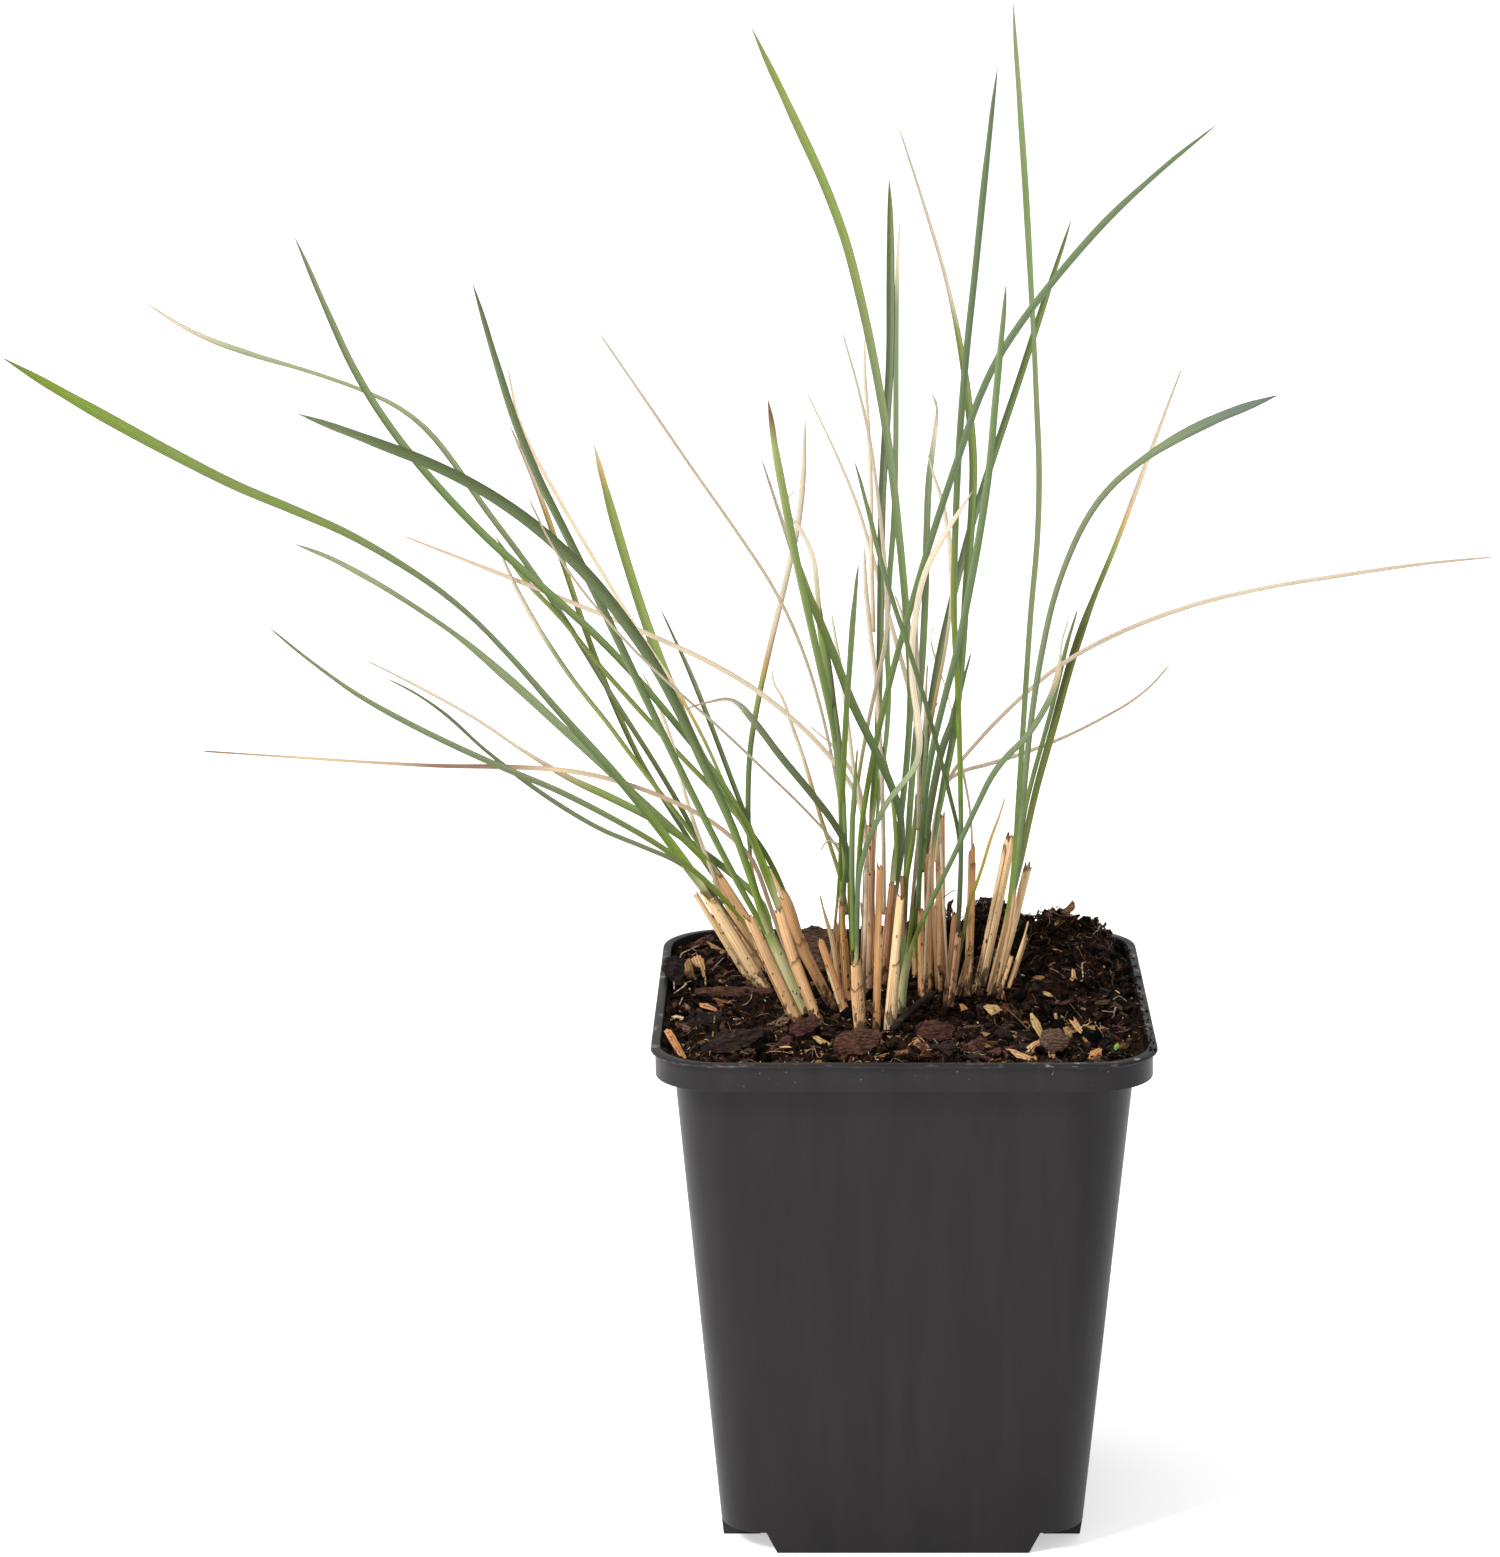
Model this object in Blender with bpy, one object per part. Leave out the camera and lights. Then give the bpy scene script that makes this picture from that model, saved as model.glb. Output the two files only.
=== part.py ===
"""A young ornamental grass clump in a square nursery pot.

The pot stands on z = 0 with its middle on the origin, and its front faces -Y. Sizes are in millimetres
and become metres when a mesh is made. The plant is laid out as a front view: each straw and blade is a
short list of drawn points (x, z) on the upright plane through the pot's middle. A drawn point is lifted
to its depth along the line of sight from EYE, so that the clump keeps its front view from there.
"""

import math

import bmesh
import bpy
import numpy as np
from mathutils import Matrix, Vector, noise

MM = 0.001
CLEARANCE = 0.35

# The pot
POT_HEIGHT = 97.5
LIP_HALF = 45.0
LIP_HEIGHT = 1.3
LIP_ROUND = 0.5
BAND_HALF = 44.3
BAND_HEIGHT = 5.6
BODY_TOP_HALF = 40.6
BODY_FOOT_HALF = 32.3
WALL = 1.2
LIP_CORNER = 12.5
TOP_CORNER = 10.0
FOOT_CORNER = 7.5
CORNER_STEPS = 6
FOOT_HEIGHT = 4.0
FOOT_HALF_LENGTH = 23.0
FOOT_SPLAY = 2.0
FOOT_INNER = 26.0
BAND_FOOT = POT_HEIGHT - BAND_HEIGHT
LEDGE = BAND_FOOT + WALL
FLOOR_TOP = FOOT_HEIGHT + WALL
PAD_RADIUS = 8.0
DRAIN_RADIUS = 4.0
DRAIN_OFFSET = 19.0
ROUND_SIDES = 16

# The potting mix
SOIL_LEVEL = 94.3
SOIL_EDGE_LOWEST = LEDGE + 1.2
SOIL_EDGE_HIGHEST = 96.6
SOIL_RINGS = 9
CRUMB_HEIGHT = 0.9
CRUMB_SIZE = 6.0
BACK_START = 8.0
BACK_LENGTH = 26.0
BACK_RISE = 2.4
HEAPS = (
    # x, y, height, spread
    (13.0, 29.0, 10.5, 6.0),
    (26.0, 29.0, 10.0, 7.0),
    (-16.0, 35.0, 3.0, 5.0),
)

# The plant
EYE = np.array((-28.0, -997.0, 371.0))
ROOT_DEPTH = 3.0
STEM_SIDES = 6
BLADE_SIDES = 4
RING_SPACING = 20.0
RING_BEND = math.radians(10)
LEAN_POWER = 1.5
BLADE_THICKNESS = 0.5
DRY_THICKNESS = 0.7
THINNEST = 0.4
WIDTH_SHARE = 0.55
WIDTH_EXTRA = 0.9
TIP_START = 0.88
FOLD = 0.22
COLLAR = 0.6
PASSES = 160
PUSH_REACH = 18.0
PUSH_EXTRA = 0.05
ROOTED_STRETCH = 6.0
POCKET_REACH = 5.0
CHIPPED = 0.22

# Each row: name, drawn radius at the foot and at the cut, depth of the cut behind its foot, and the
# drawn points from the foot up.
CUT_STRAWS = (
    ("cut_straw_01", 0.5, 0.5, 0, ((-27.8, 98.6), (-38.3, 116.4))),
    ("cut_straw_02", 1.1, 1.0, -2, ((-19.2, 91.5), (-23.8, 101.5), (-28.5, 112.3))),
    ("cut_straw_03", 0.9, 0.7, -1, ((-9.9, 92.0), (-12.4, 99.5), (-15.3, 107.8))),
    ("cut_straw_04", 0.7, 0.6, 2, ((-5.6, 99.6), (-7.3, 115.0))),
    ("cut_straw_05", 0.7, 0.6, 0, ((-4.7, 91.2), (-4.2, 122.0))),
    ("cut_straw_06", 1.1, 0.7, 1, ((-2.2, 90.8), (-1.3, 103.5), (-0.3, 116.0))),
    ("cut_straw_07", 0.95, 0.65, 0, ((3.9, 96.5), (3.4, 113.3))),
    ("cut_straw_08", 0.9, 0.95, 3, ((7.2, 98.8), (7.0, 115.0), (6.8, 131.5))),
    ("cut_straw_09", 0.5, 0.5, -2, ((10.2, 96.2), (13.0, 106.8))),
    ("cut_straw_10", 1.1, 1.05, 3, ((14.4, 98.0), (17.2, 112.5), (20.0, 127.5))),
    ("cut_straw_11", 0.85, 0.8, 0, ((17.4, 98.2), (20.4, 110.0), (23.2, 122.0))),
    ("cut_straw_12", 0.55, 0.45, 2, ((19.6, 97.3), (23.0, 108.5))),
)

# Each row: name, straw radius at the foot, drawn height of the cut, depth of the tip, drawn blade widths
# at the cut, the middle and near the tip, which way the blade turns, whether it is dry, drawn points.
SHOOTS = (
    (
        "shoot_01", 1.2, 117.0, -12, (1.5, 2.0, 1.4), 1, False,
        ((-25.5, 98.0), (-31.0, 107.5), (-36.8, 117.3), (-48.1, 133.0), (-60.0, 147.0), (-80.0, 169.2),
         (-100.0, 182.8), (-120.0, 191.7), (-140.0, 202.3), (-162.6, 215.5)),
    ),
    (
        "shoot_02", 0.85, 119.0, 62, (1.0, 1.4, 0.9), -1, False,
        ((-25.5, 101.6), (-34.5, 119.0), (-41.4, 133.3), (-52.6, 151.8), (-63.8, 170.4), (-76.6, 188.5),
         (-87.2, 202.9), (-100.0, 210.2), (-124.5, 218.2), (-137.0, 225.8)),
    ),
    (
        "shoot_03", 0.9, 120.5, 12, (1.1, 1.6, 1.1), 1, False,
        ((-21.6, 99.9), (-28.0, 110.2), (-34.8, 121.0), (-45.1, 131.1), (-60.0, 145.4), (-80.0, 163.6),
         (-100.0, 176.8), (-110.8, 181.5)),
    ),
    (
        "shoot_04", 1.1, 108.5, -48, (1.6, 2.4, 1.7), 1, False,
        ((-17.6, 92.8), (-21.5, 102.0), (-25.2, 110.5), (-30.5, 126.8), (-37.5, 142.4), (-45.6, 159.2),
         (-60.1, 178.4), (-80.0, 193.3), (-109.8, 205.3)),
    ),
    (
        "shoot_05", 1.0, 113.5, 36, (1.1, 1.6, 1.0), -1, False,
        ((-15.5, 91.5), (-20.0, 103.5), (-23.0, 114.0), (-28.4, 128.3), (-36.9, 141.7), (-54.2, 162.3),
         (-79.8, 186.4), (-97.3, 209.3), (-109.6, 237.6)),
    ),
    (
        "shoot_06", 0.9, 116.5, 16, (0.8, 0.8, 0.5), 1, False,
        ((-13.2, 95.3), (-19.8, 109.0), (-22.4, 116.8), (-29.0, 129.0), (-38.7, 150.2), (-51.5, 171.0),
         (-67.9, 200.4), (-71.6, 214.1)),
    ),
    (
        "shoot_07", 0.75, 114.5, -55, (1.2, 1.4, 0.8), -1, False,
        ((-9.9, 95.4), (-11.0, 114.0), (-9.9, 122.5), (-12.3, 129.3), (-22.2, 142.1), (-30.3, 152.0),
         (-36.2, 151.9), (-40.0, 150.5)),
    ),
    (
        "shoot_08", 1.05, 104.0, -35, (1.0, 1.3, 0.7), 1, False,
        ((-7.6, 90.6), (-8.6, 104.5), (-7.9, 121.0), (-3.6, 132.4), (2.1, 140.5), (2.4, 148.0),
         (1.2, 160.0), (3.7, 176.6), (12.4, 191.4)),
    ),
    (
        "shoot_09", 1.05, 130.0, 58, (1.4, 1.3, 1.1), -1, False,
        ((-6.6, 98.0), (-6.2, 115.0), (-5.9, 130.3), (-5.0, 144.0), (-4.6, 163.6), (-4.3, 193.9),
         (-3.2, 212.8), (-3.2, 247.9)),
    ),
    (
        "shoot_10", 0.85, 118.5, 22, (1.3, 1.5, 1.7), 1, False,
        ((-3.4, 99.2), (-1.7, 118.8), (-0.2, 131.0), (1.4, 152.0), (0.4, 169.8), (-2.7, 198.5),
         (-7.7, 224.9), (-13.7, 244.7), (-27.8, 274.6)),
    ),
    (
        "shoot_11", 0.75, 124.8, 74, (1.6, 1.3, 0.8), -1, False,
        ((5.0, 98.0), (4.6, 125.2), (3.6, 139.0), (5.2, 154.2), (7.5, 166.7), (12.9, 188.5),
         (18.1, 204.6), (24.7, 225.8), (29.5, 240.6)),
    ),
    (
        "shoot_12", 0.75, 125.5, 55, (0.6, 0.6, 0.4), 1, True,
        ((12.2, 99.4), (12.7, 125.7), (11.3, 137.0), (8.6, 151.2), (5.0, 162.8), (5.6, 166.5)),
    ),
    (
        "shoot_13", 0.7, 109.5, -22, (1.0, 1.3, 1.0), -1, False,
        ((9.0, 95.0), (10.5, 110.0), (10.9, 125.0), (10.3, 150.0), (9.3, 171.3), (10.3, 204.6),
         (13.4, 239.3), (16.0, 267.7)),
    ),
    (
        "shoot_14", 0.8, 105.2, -50, (1.0, 1.5, 0.9), 1, False,
        ((-0.1, 92.2), (1.5, 105.4), (10.5, 126.0), (16.5, 139.0), (22.9, 146.5), (27.3, 155.0),
         (28.8, 163.9), (30.0, 168.0)),
    ),
)

# Each row: name, depth of the tip, drawn widths at the foot, the middle and near the tip, which way the
# blade turns, whether it is dry, and the drawn points from the foot up.
LEAVES = (
    (
        "leaf_01", -62, (1.0, 1.2, 0.9), 1, False,
        ((-21.3, 95.9), (-29.8, 111.5), (-41.2, 123.0), (-60.2, 134.3), (-80.0, 143.2), (-100.0, 154.0),
         (-115.7, 166.2)),
    ),
    (
        "leaf_02", 8, (0.8, 0.9, 0.6), -1, False,
        ((-23.2, 99.0), (-32.0, 111.5), (-40.2, 120.9), (-57.2, 128.8), (-72.5, 139.4), (-85.4, 151.0),
         (-94.5, 156.6)),
    ),
    (
        "leaf_03", 46, (0.9, 0.9, 0.6), 1, True,
        ((-15.9, 95.0), (-21.0, 104.5), (-24.7, 114.7), (-28.7, 123.9), (-40.0, 132.4), (-60.2, 139.0),
         (-90.0, 140.3), (-128.9, 142.9)),
    ),
    (
        "leaf_04", 70, (1.0, 1.4, 0.8), -1, False,
        ((-19.2, 98.2), (-24.0, 108.0), (-27.4, 115.7), (-43.9, 128.6), (-63.2, 138.7), (-80.0, 150.0),
         (-98.3, 160.0)),
    ),
    (
        "leaf_05", -30, (1.2, 1.6, 1.1), 1, False,
        ((-18.4, 95.4), (-23.8, 106.0), (-31.7, 120.4), (-42.9, 143.4), (-56.7, 173.1), (-69.4, 200.6),
         (-77.8, 229.2)),
    ),
    (
        "leaf_06", 50, (1.0, 1.2, 0.7), -1, False,
        ((-24.2, 104.0), (-31.0, 113.0), (-38.5, 125.0), (-49.0, 142.4), (-57.7, 163.9), (-65.0, 186.7),
         (-71.5, 203.6)),
    ),
    (
        "leaf_07", 84, (1.4, 2.1, 1.4), 1, False,
        ((-17.3, 98.6), (-22.5, 112.0), (-28.4, 128.3), (-36.9, 141.7), (-45.3, 162.3), (-51.6, 182.2),
         (-56.2, 199.8)),
    ),
    (
        "leaf_08", 64, (0.8, 0.8, 0.6), -1, False,
        ((-15.2, 98.0), (-19.5, 105.5), (-23.4, 115.5), (-29.9, 132.4), (-37.5, 153.0), (-44.3, 169.4)),
    ),
    (
        "leaf_09", 30, (0.7, 0.7, 0.5), 1, True,
        ((-7.0, 95.6), (-6.8, 115.0), (-7.4, 131.5), (-13.4, 141.8), (-23.7, 151.8), (-36.5, 160.0),
         (-60.3, 170.5), (-92.0, 183.3)),
    ),
    (
        "leaf_10", -50, (0.6, 0.6, 0.5), -1, True,
        ((-10.8, 98.4), (-11.0, 115.0), (-12.3, 125.2), (-29.9, 143.7), (-48.3, 160.9), (-61.2, 176.7),
         (-68.2, 190.1)),
    ),
    (
        "leaf_11", -16, (0.9, 0.8, 0.6), 1, True,
        ((-11.9, 100.0), (-10.5, 122.0), (-13.1, 141.8), (-17.7, 159.5), (-24.4, 174.3), (-36.1, 191.7),
         (-55.6, 220.6)),
    ),
    (
        "leaf_12", 76, (0.8, 0.8, 0.6), -1, False,
        ((-20.6, 100.6), (-25.4, 113.5), (-27.8, 123.0), (-27.8, 143.0), (-24.0, 163.1), (-18.9, 186.4),
         (-18.0, 204.4)),
    ),
    (
        "leaf_13", 86, (1.0, 1.1, 0.8), 1, False,
        ((-4.8, 101.4), (-5.2, 120.0), (-4.2, 134.6), (-2.5, 150.0), (-2.8, 167.3), (-1.5, 190.6),
         (-1.5, 223.5), (-1.2, 240.2)),
    ),
    (
        "leaf_14", 34, (1.2, 1.6, 0.9), -1, False,
        ((6.2, 101.2), (5.4, 122.0), (7.2, 136.0), (9.6, 151.0), (11.3, 178.7), (11.9, 199.0),
         (7.7, 226.7), (-1.7, 257.3)),
    ),
    (
        "leaf_15", 4, (1.0, 1.0, 0.9), 1, False,
        ((16.6, 100.2), (20.2, 117.0), (21.3, 131.2), (23.1, 165.0), (24.6, 190.0), (23.2, 219.0),
         (21.3, 249.2), (18.6, 279.2)),
    ),
    (
        "leaf_16", -42, (1.0, 1.4, 1.0), -1, False,
        ((-8.1, 97.4), (-8.0, 112.0), (-7.4, 128.3), (-3.7, 149.6), (1.8, 171.0), (9.8, 197.0),
         (18.0, 217.2), (36.3, 240.4), (55.4, 257.5)),
    ),
    (
        "leaf_17", -64, (1.1, 1.4, 1.0), 1, False,
        ((2.3, 100.4), (2.8, 115.0), (3.3, 129.0), (5.4, 145.0), (9.8, 163.6), (14.3, 190.0),
         (16.1, 210.0), (17.9, 229.1)),
    ),
    (
        "leaf_18", -30, (0.9, 1.0, 0.6), -1, True,
        ((-9.0, 100.8), (-9.8, 120.0), (-7.8, 140.5), (-4.8, 156.1), (-3.1, 170.0), (-6.3, 199.8),
         (-11.6, 220.6)),
    ),
    (
        "leaf_19", -60, (0.9, 1.3, 0.9), 1, False,
        ((-13.5, 99.8), (-11.6, 122.0), (-12.2, 141.1), (-15.6, 158.9), (-19.7, 177.2), (-23.6, 197.9),
         (-24.8, 208.0)),
    ),
    (
        "leaf_20", 50, (1.0, 1.1, 0.6), -1, True,
        ((0.5, 100.2), (1.9, 115.0), (3.3, 138.0), (1.1, 153.6), (-3.5, 170.4), (-9.2, 190.0),
         (-18.1, 209.7)),
    ),
    (
        "leaf_21", -70, (0.8, 0.9, 0.7), 1, False,
        ((10.2, 98.9), (10.3, 112.0), (10.2, 125.5), (7.2, 138.6), (3.5, 152.4), (-0.8, 166.0),
         (-4.1, 176.3), (-9.2, 196.7)),
    ),
    (
        "leaf_22", -56, (1.1, 1.0, 0.8), -1, False,
        ((-12.2, 97.0), (-11.2, 113.0), (-10.9, 129.2), (-10.4, 145.0), (-9.4, 161.1), (-8.3, 177.8)),
    ),
    (
        "leaf_23", 88, (1.2, 1.5, 1.0), 1, False,
        ((0.2, 97.6), (0.7, 115.0), (1.5, 132.4), (2.7, 148.0), (3.9, 166.7), (4.4, 190.9),
         (5.7, 204.9), (4.6, 209.2)),
    ),
    (
        "leaf_24", -25, (1.2, 1.6, 1.0), -1, False,
        ((-2.4, 96.6), (-1.4, 113.0), (-0.5, 129.5), (-4.3, 140.5), (-9.3, 151.1), (-14.1, 163.6),
         (-19.3, 176.5), (-26.1, 197.4)),
    ),
    (
        "leaf_25", 30, (1.2, 2.0, 0.9), 1, False,
        ((16.0, 96.2), (20.0, 113.5), (24.4, 135.5), (28.5, 151.2), (32.2, 165.1), (39.4, 184.3),
         (49.8, 214.0)),
    ),
    (
        "leaf_26", -46, (0.9, 1.2, 2.2), -1, False,
        ((18.2, 101.2), (20.4, 114.0), (22.1, 135.0), (24.1, 155.0), (28.2, 174.7), (36.1, 190.6),
         (50.3, 201.5), (67.1, 208.6)),
    ),
    (
        "leaf_27", 22, (0.9, 1.0, 0.8), 1, True,
        ((4.3, 101.6), (5.0, 120.0), (7.1, 134.9), (15.8, 147.1), (31.4, 160.8), (55.4, 170.9),
         (87.8, 176.8), (107.4, 179.0)),
    ),
    (
        "leaf_28", 52, (0.7, 0.9, 0.5), -1, True,
        ((8.4, 101.0), (7.2, 122.0), (7.6, 136.6), (19.6, 141.6), (30.5, 146.0), (42.4, 152.8),
         (48.5, 159.1)),
    ),
)

# Loose pieces on the mix: name, drawn middle, height above the mix, length, width and thickness, turn
# about the upright axis and tilts along and across in degrees.
LOOSE_PIECES = (
    ("bark_chip_brown", (-8.0, 88.6), 0.9, (9.5, 11.0, 2.2), (12, 4, -6)),
    ("bark_chip_red", (-17.4, 91.4), 1.2, (7.0, 4.0, 3.6), (24, 8, 0)),
    ("stick_left", (-31.2, 97.0), 0.7, (15.0, 2.0, 2.0), (2, 1, 20)),
    ("stick_dark", (2.9, 93.6), 1.7, (21.0, 1.5, 1.5), (68, 0, 25)),
)

# Base colour and roughness
COLOURS = {
    "plastic": ((0.042, 0.042, 0.043), 0.45),
    "soil": ((0.030, 0.022, 0.017), 0.95),
    "bark": ((0.110, 0.062, 0.045), 0.85),
    "straw": ((0.730, 0.450, 0.220), 0.60),
    "green": ((0.160, 0.290, 0.070), 0.50),
    "dry": ((0.800, 0.620, 0.400), 0.65),
}


def clear_scene():
    for obj in list(bpy.data.objects):
        bpy.data.objects.remove(obj)


def material(name, look):
    colour, roughness = COLOURS[look]
    made = bpy.data.materials.new(name)
    made.use_nodes = True
    shader = made.node_tree.nodes["Principled BSDF"]
    shader.inputs["Base Color"].default_value = (*colour, 1.0)
    shader.inputs["Roughness"].default_value = roughness
    shader.inputs["Metallic"].default_value = 0.0
    return made


def skin(rings, tip=None):
    """A closed mesh over rings of points of equal count, with flat ends, or with one end at a tip point."""
    mesh = bmesh.new()
    loops = [[mesh.verts.new(Vector(point) * MM) for point in ring] for ring in rings]
    count = len(loops[0])
    for low, high in zip(loops, loops[1:]):
        for i in range(count):
            j = (i + 1) % count
            mesh.faces.new((low[i], low[j], high[j], high[i]))
    mesh.faces.new(reversed(loops[0]))
    if tip is None:
        mesh.faces.new(loops[-1])
    else:
        end = mesh.verts.new(Vector(tip) * MM)
        for i in range(count):
            mesh.faces.new((loops[-1][i], loops[-1][(i + 1) % count], end))
    bmesh.ops.recalc_face_normals(mesh, faces=mesh.faces)
    return mesh


def add_object(name, mesh, look=None, smooth=False, collection=None):
    data = bpy.data.meshes.new(name)
    mesh.to_mesh(data)
    mesh.free()
    obj = bpy.data.objects.new(name, data)
    (collection or bpy.context.scene.collection).objects.link(obj)
    if look:
        data.materials.append(material(name, look))
    if smooth:
        data.shade_smooth()
    return obj


def cutter_collection(name):
    made = bpy.data.collections.new(name)
    bpy.context.scene.collection.children.link(made)
    made.hide_render = True
    return made


def add_cutter(name, mesh, collection):
    obj = add_object(name, mesh, collection=collection)
    obj.hide_render = True
    obj.display_type = "WIRE"


def combine(obj, operation, collection):
    step = obj.modifiers.new(operation.lower(), "BOOLEAN")
    step.operand_type = "COLLECTION"
    step.collection = collection
    step.operation = operation
    step.solver = "EXACT"
    step.use_self = True


# Pot


def square_ring(half, corner, z):
    """A square with round corners at one height, anticlockwise seen from above."""
    points = []
    for quarter in range(4):
        start = quarter * math.pi / 2
        middle = start + math.pi / 4
        reach = (half - corner) * math.sqrt(2)
        for step in range(CORNER_STEPS + 1):
            angle = start + step / CORNER_STEPS * math.pi / 2
            x = reach * math.cos(middle) + corner * math.cos(angle)
            y = reach * math.sin(middle) + corner * math.sin(angle)
            points.append((x, y, z))
    return points


def body_half(z):
    """Half width of the pot's tapered body outside, at a height."""
    return BODY_FOOT_HALF + (BODY_TOP_HALF - BODY_FOOT_HALF) * z / BAND_FOOT


def body_corner(z):
    """Corner radius of the pot's tapered body outside, at a height."""
    return FOOT_CORNER + (TOP_CORNER - FOOT_CORNER) * z / BAND_FOOT


def pot_rings():
    """Outlines from the foot up the outside to the lip, and down the inside to the floor."""
    lip_foot = POT_HEIGHT - LIP_HEIGHT
    outside = (
        (body_half(0), body_corner(0), 0),
        (body_half(BAND_FOOT), body_corner(BAND_FOOT), BAND_FOOT),
        (BAND_HALF, LIP_CORNER - LIP_ROUND, BAND_FOOT + LIP_ROUND / 2),
        (BAND_HALF, LIP_CORNER - LIP_ROUND, lip_foot),
        (LIP_HALF, LIP_CORNER, lip_foot + LIP_ROUND),
        (LIP_HALF, LIP_CORNER, POT_HEIGHT - LIP_ROUND / 2),
        (LIP_HALF - LIP_ROUND, LIP_CORNER - LIP_ROUND, POT_HEIGHT),
    )
    inside = (
        (BAND_HALF - WALL + LIP_ROUND, LIP_CORNER - WALL, POT_HEIGHT),
        (BAND_HALF - WALL, LIP_CORNER - LIP_ROUND - WALL, LEDGE + LIP_ROUND),
        (body_half(LEDGE) - WALL, body_corner(LEDGE) - WALL, LEDGE),
        (body_half(FLOOR_TOP) - WALL, body_corner(FLOOR_TOP) - WALL, FLOOR_TOP),
    )
    return [square_ring(*ring) for ring in outside + inside]


def foot_outline(half_length, inner, z):
    """The space under the pot's floor in plan: a wide square less the four feet."""
    outer = LIP_HALF
    side = (
        (-half_length, -outer),
        (-half_length, -inner),
        (half_length, -inner),
        (half_length, -outer),
        (outer, -outer),
    )
    points = []
    for quarter in range(4):
        turned = side
        for _ in range(quarter):
            turned = [(-y, x) for x, y in turned]
        points.extend((x, y, z) for x, y in turned)
    return points


def round_peg(x, y, radius, low, high):
    angles = [2 * math.pi * side / ROUND_SIDES for side in range(ROUND_SIDES)]
    outline = [(x + radius * math.cos(angle), y + radius * math.sin(angle)) for angle in angles]
    return skin([[(px, py, z) for px, py in outline] for z in (low, high)])


def make_pot():
    """The moulded pot: a tapered square shell on four long feet, with a round pad under its middle."""
    cutters = cutter_collection("pot_cutters")
    slope = FOOT_SPLAY / FOOT_HEIGHT
    below = -1.0
    space = skin(
        [
            foot_outline(FOOT_HALF_LENGTH + slope * below, FOOT_INNER, below),
            foot_outline(FOOT_HALF_LENGTH + FOOT_SPLAY, FOOT_INNER, FOOT_HEIGHT),
        ]
    )
    add_cutter("space_between_feet", space, cutters)
    signs = (-1, 1)
    for number, (across, along) in enumerate((a, b) for a in signs for b in signs):
        hole = round_peg(
            across * DRAIN_OFFSET, along * DRAIN_OFFSET, DRAIN_RADIUS, FOOT_HEIGHT + below, FLOOR_TOP - below
        )
        add_cutter(f"drain_hole_{number}", hole, cutters)
    pads = cutter_collection("pot_pads")
    add_cutter("centre_pad", round_peg(0, 0, PAD_RADIUS, 0, FOOT_HEIGHT + WALL / 2), pads)
    pot = add_object("pot", skin(pot_rings()), "plastic")
    combine(pot, "DIFFERENCE", cutters)
    combine(pot, "UNION", pads)


# Potting mix


def soil_height(x, y):
    """Height of the mix's surface over a point in plan."""
    crumbs = noise.noise(Vector((x, y, 3.0)) / CRUMB_SIZE) * CRUMB_HEIGHT
    back = max(0.0, min(1.0, (y - BACK_START) / BACK_LENGTH)) * BACK_RISE
    height = SOIL_LEVEL + crumbs + back
    for heap_x, heap_y, rise, spread in HEAPS:
        away = ((x - heap_x) ** 2 + (y - heap_y) ** 2) / spread**2
        height += rise * math.exp(-away / 2)
    return height


def make_potting_mix(cutters):
    """The body of soil: it fills the pot with a clearance all round, and its top is rings of bumpy soil."""
    gap = CLEARANCE + WALL
    edge_half = BAND_HALF - gap
    edge_corner = LIP_CORNER - LIP_ROUND - gap
    low = FLOOR_TOP + CLEARANCE
    rings = [
        square_ring(body_half(low) - gap, body_corner(low) - gap, low),
        square_ring(body_half(LEDGE) - gap, body_corner(LEDGE) - gap, LEDGE + CLEARANCE),
        square_ring(edge_half, edge_corner, LEDGE + LIP_ROUND + CLEARANCE),
    ]
    for number in range(SOIL_RINGS):
        share = 1.0 - number / SOIL_RINGS
        ring = []
        for x, y, _ in square_ring(edge_half, edge_corner, 0):
            height = soil_height(x * share, y * share)
            if number == 0:
                height = max(SOIL_EDGE_LOWEST, min(height, SOIL_EDGE_HIGHEST))
            ring.append((x * share, y * share, height))
        rings.append(ring)
    mix = add_object("potting_mix", skin(rings, tip=(0, 0, soil_height(0, 0))), "soil")
    combine(mix, "DIFFERENCE", cutters)


# Plant


def lift(x, z, depth):
    """A drawn point moved along its line of sight to a depth behind the drawing plane."""
    drawn = np.array((x, 0.0, z))
    return EYE + (drawn - EYE) * (depth - EYE[1]) / -EYE[1]


def soil_point(x, z, height=0.0):
    """Where the line of sight through a drawn point meets the mix, or a height above it."""
    depth = 0.0
    for _ in range(20):
        at = lift(x, z, depth)
        surface = soil_height(at[0], at[1]) + height
        depth = -EYE[1] * (EYE[2] - surface) / (EYE[2] - z) + EYE[1]
    return lift(x, z, depth)


def smooth_curve(points, steps=12):
    """Points on a Catmull-Rom curve through the given points."""
    points = [np.array(point, float) for point in points]
    ends = [2 * points[0] - points[1], *points, 2 * points[-1] - points[-2]]
    curve = []
    for a, b, c, d in zip(ends, ends[1:], ends[2:], ends[3:]):
        for step in range(steps):
            t = step / steps
            curve.append(
                0.5 * (2 * b + (c - a) * t + (2 * a - 5 * b + 4 * c - d) * t**2
                       + (3 * b - a - 3 * c + d) * t**3)
            )
    curve.append(points[-1])
    return np.array(curve)


def run_lengths(line):
    """Distance from the first point of a line to each of its points."""
    return np.concatenate(([0.0], np.cumsum(np.linalg.norm(np.diff(line, axis=0), axis=1))))


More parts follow.
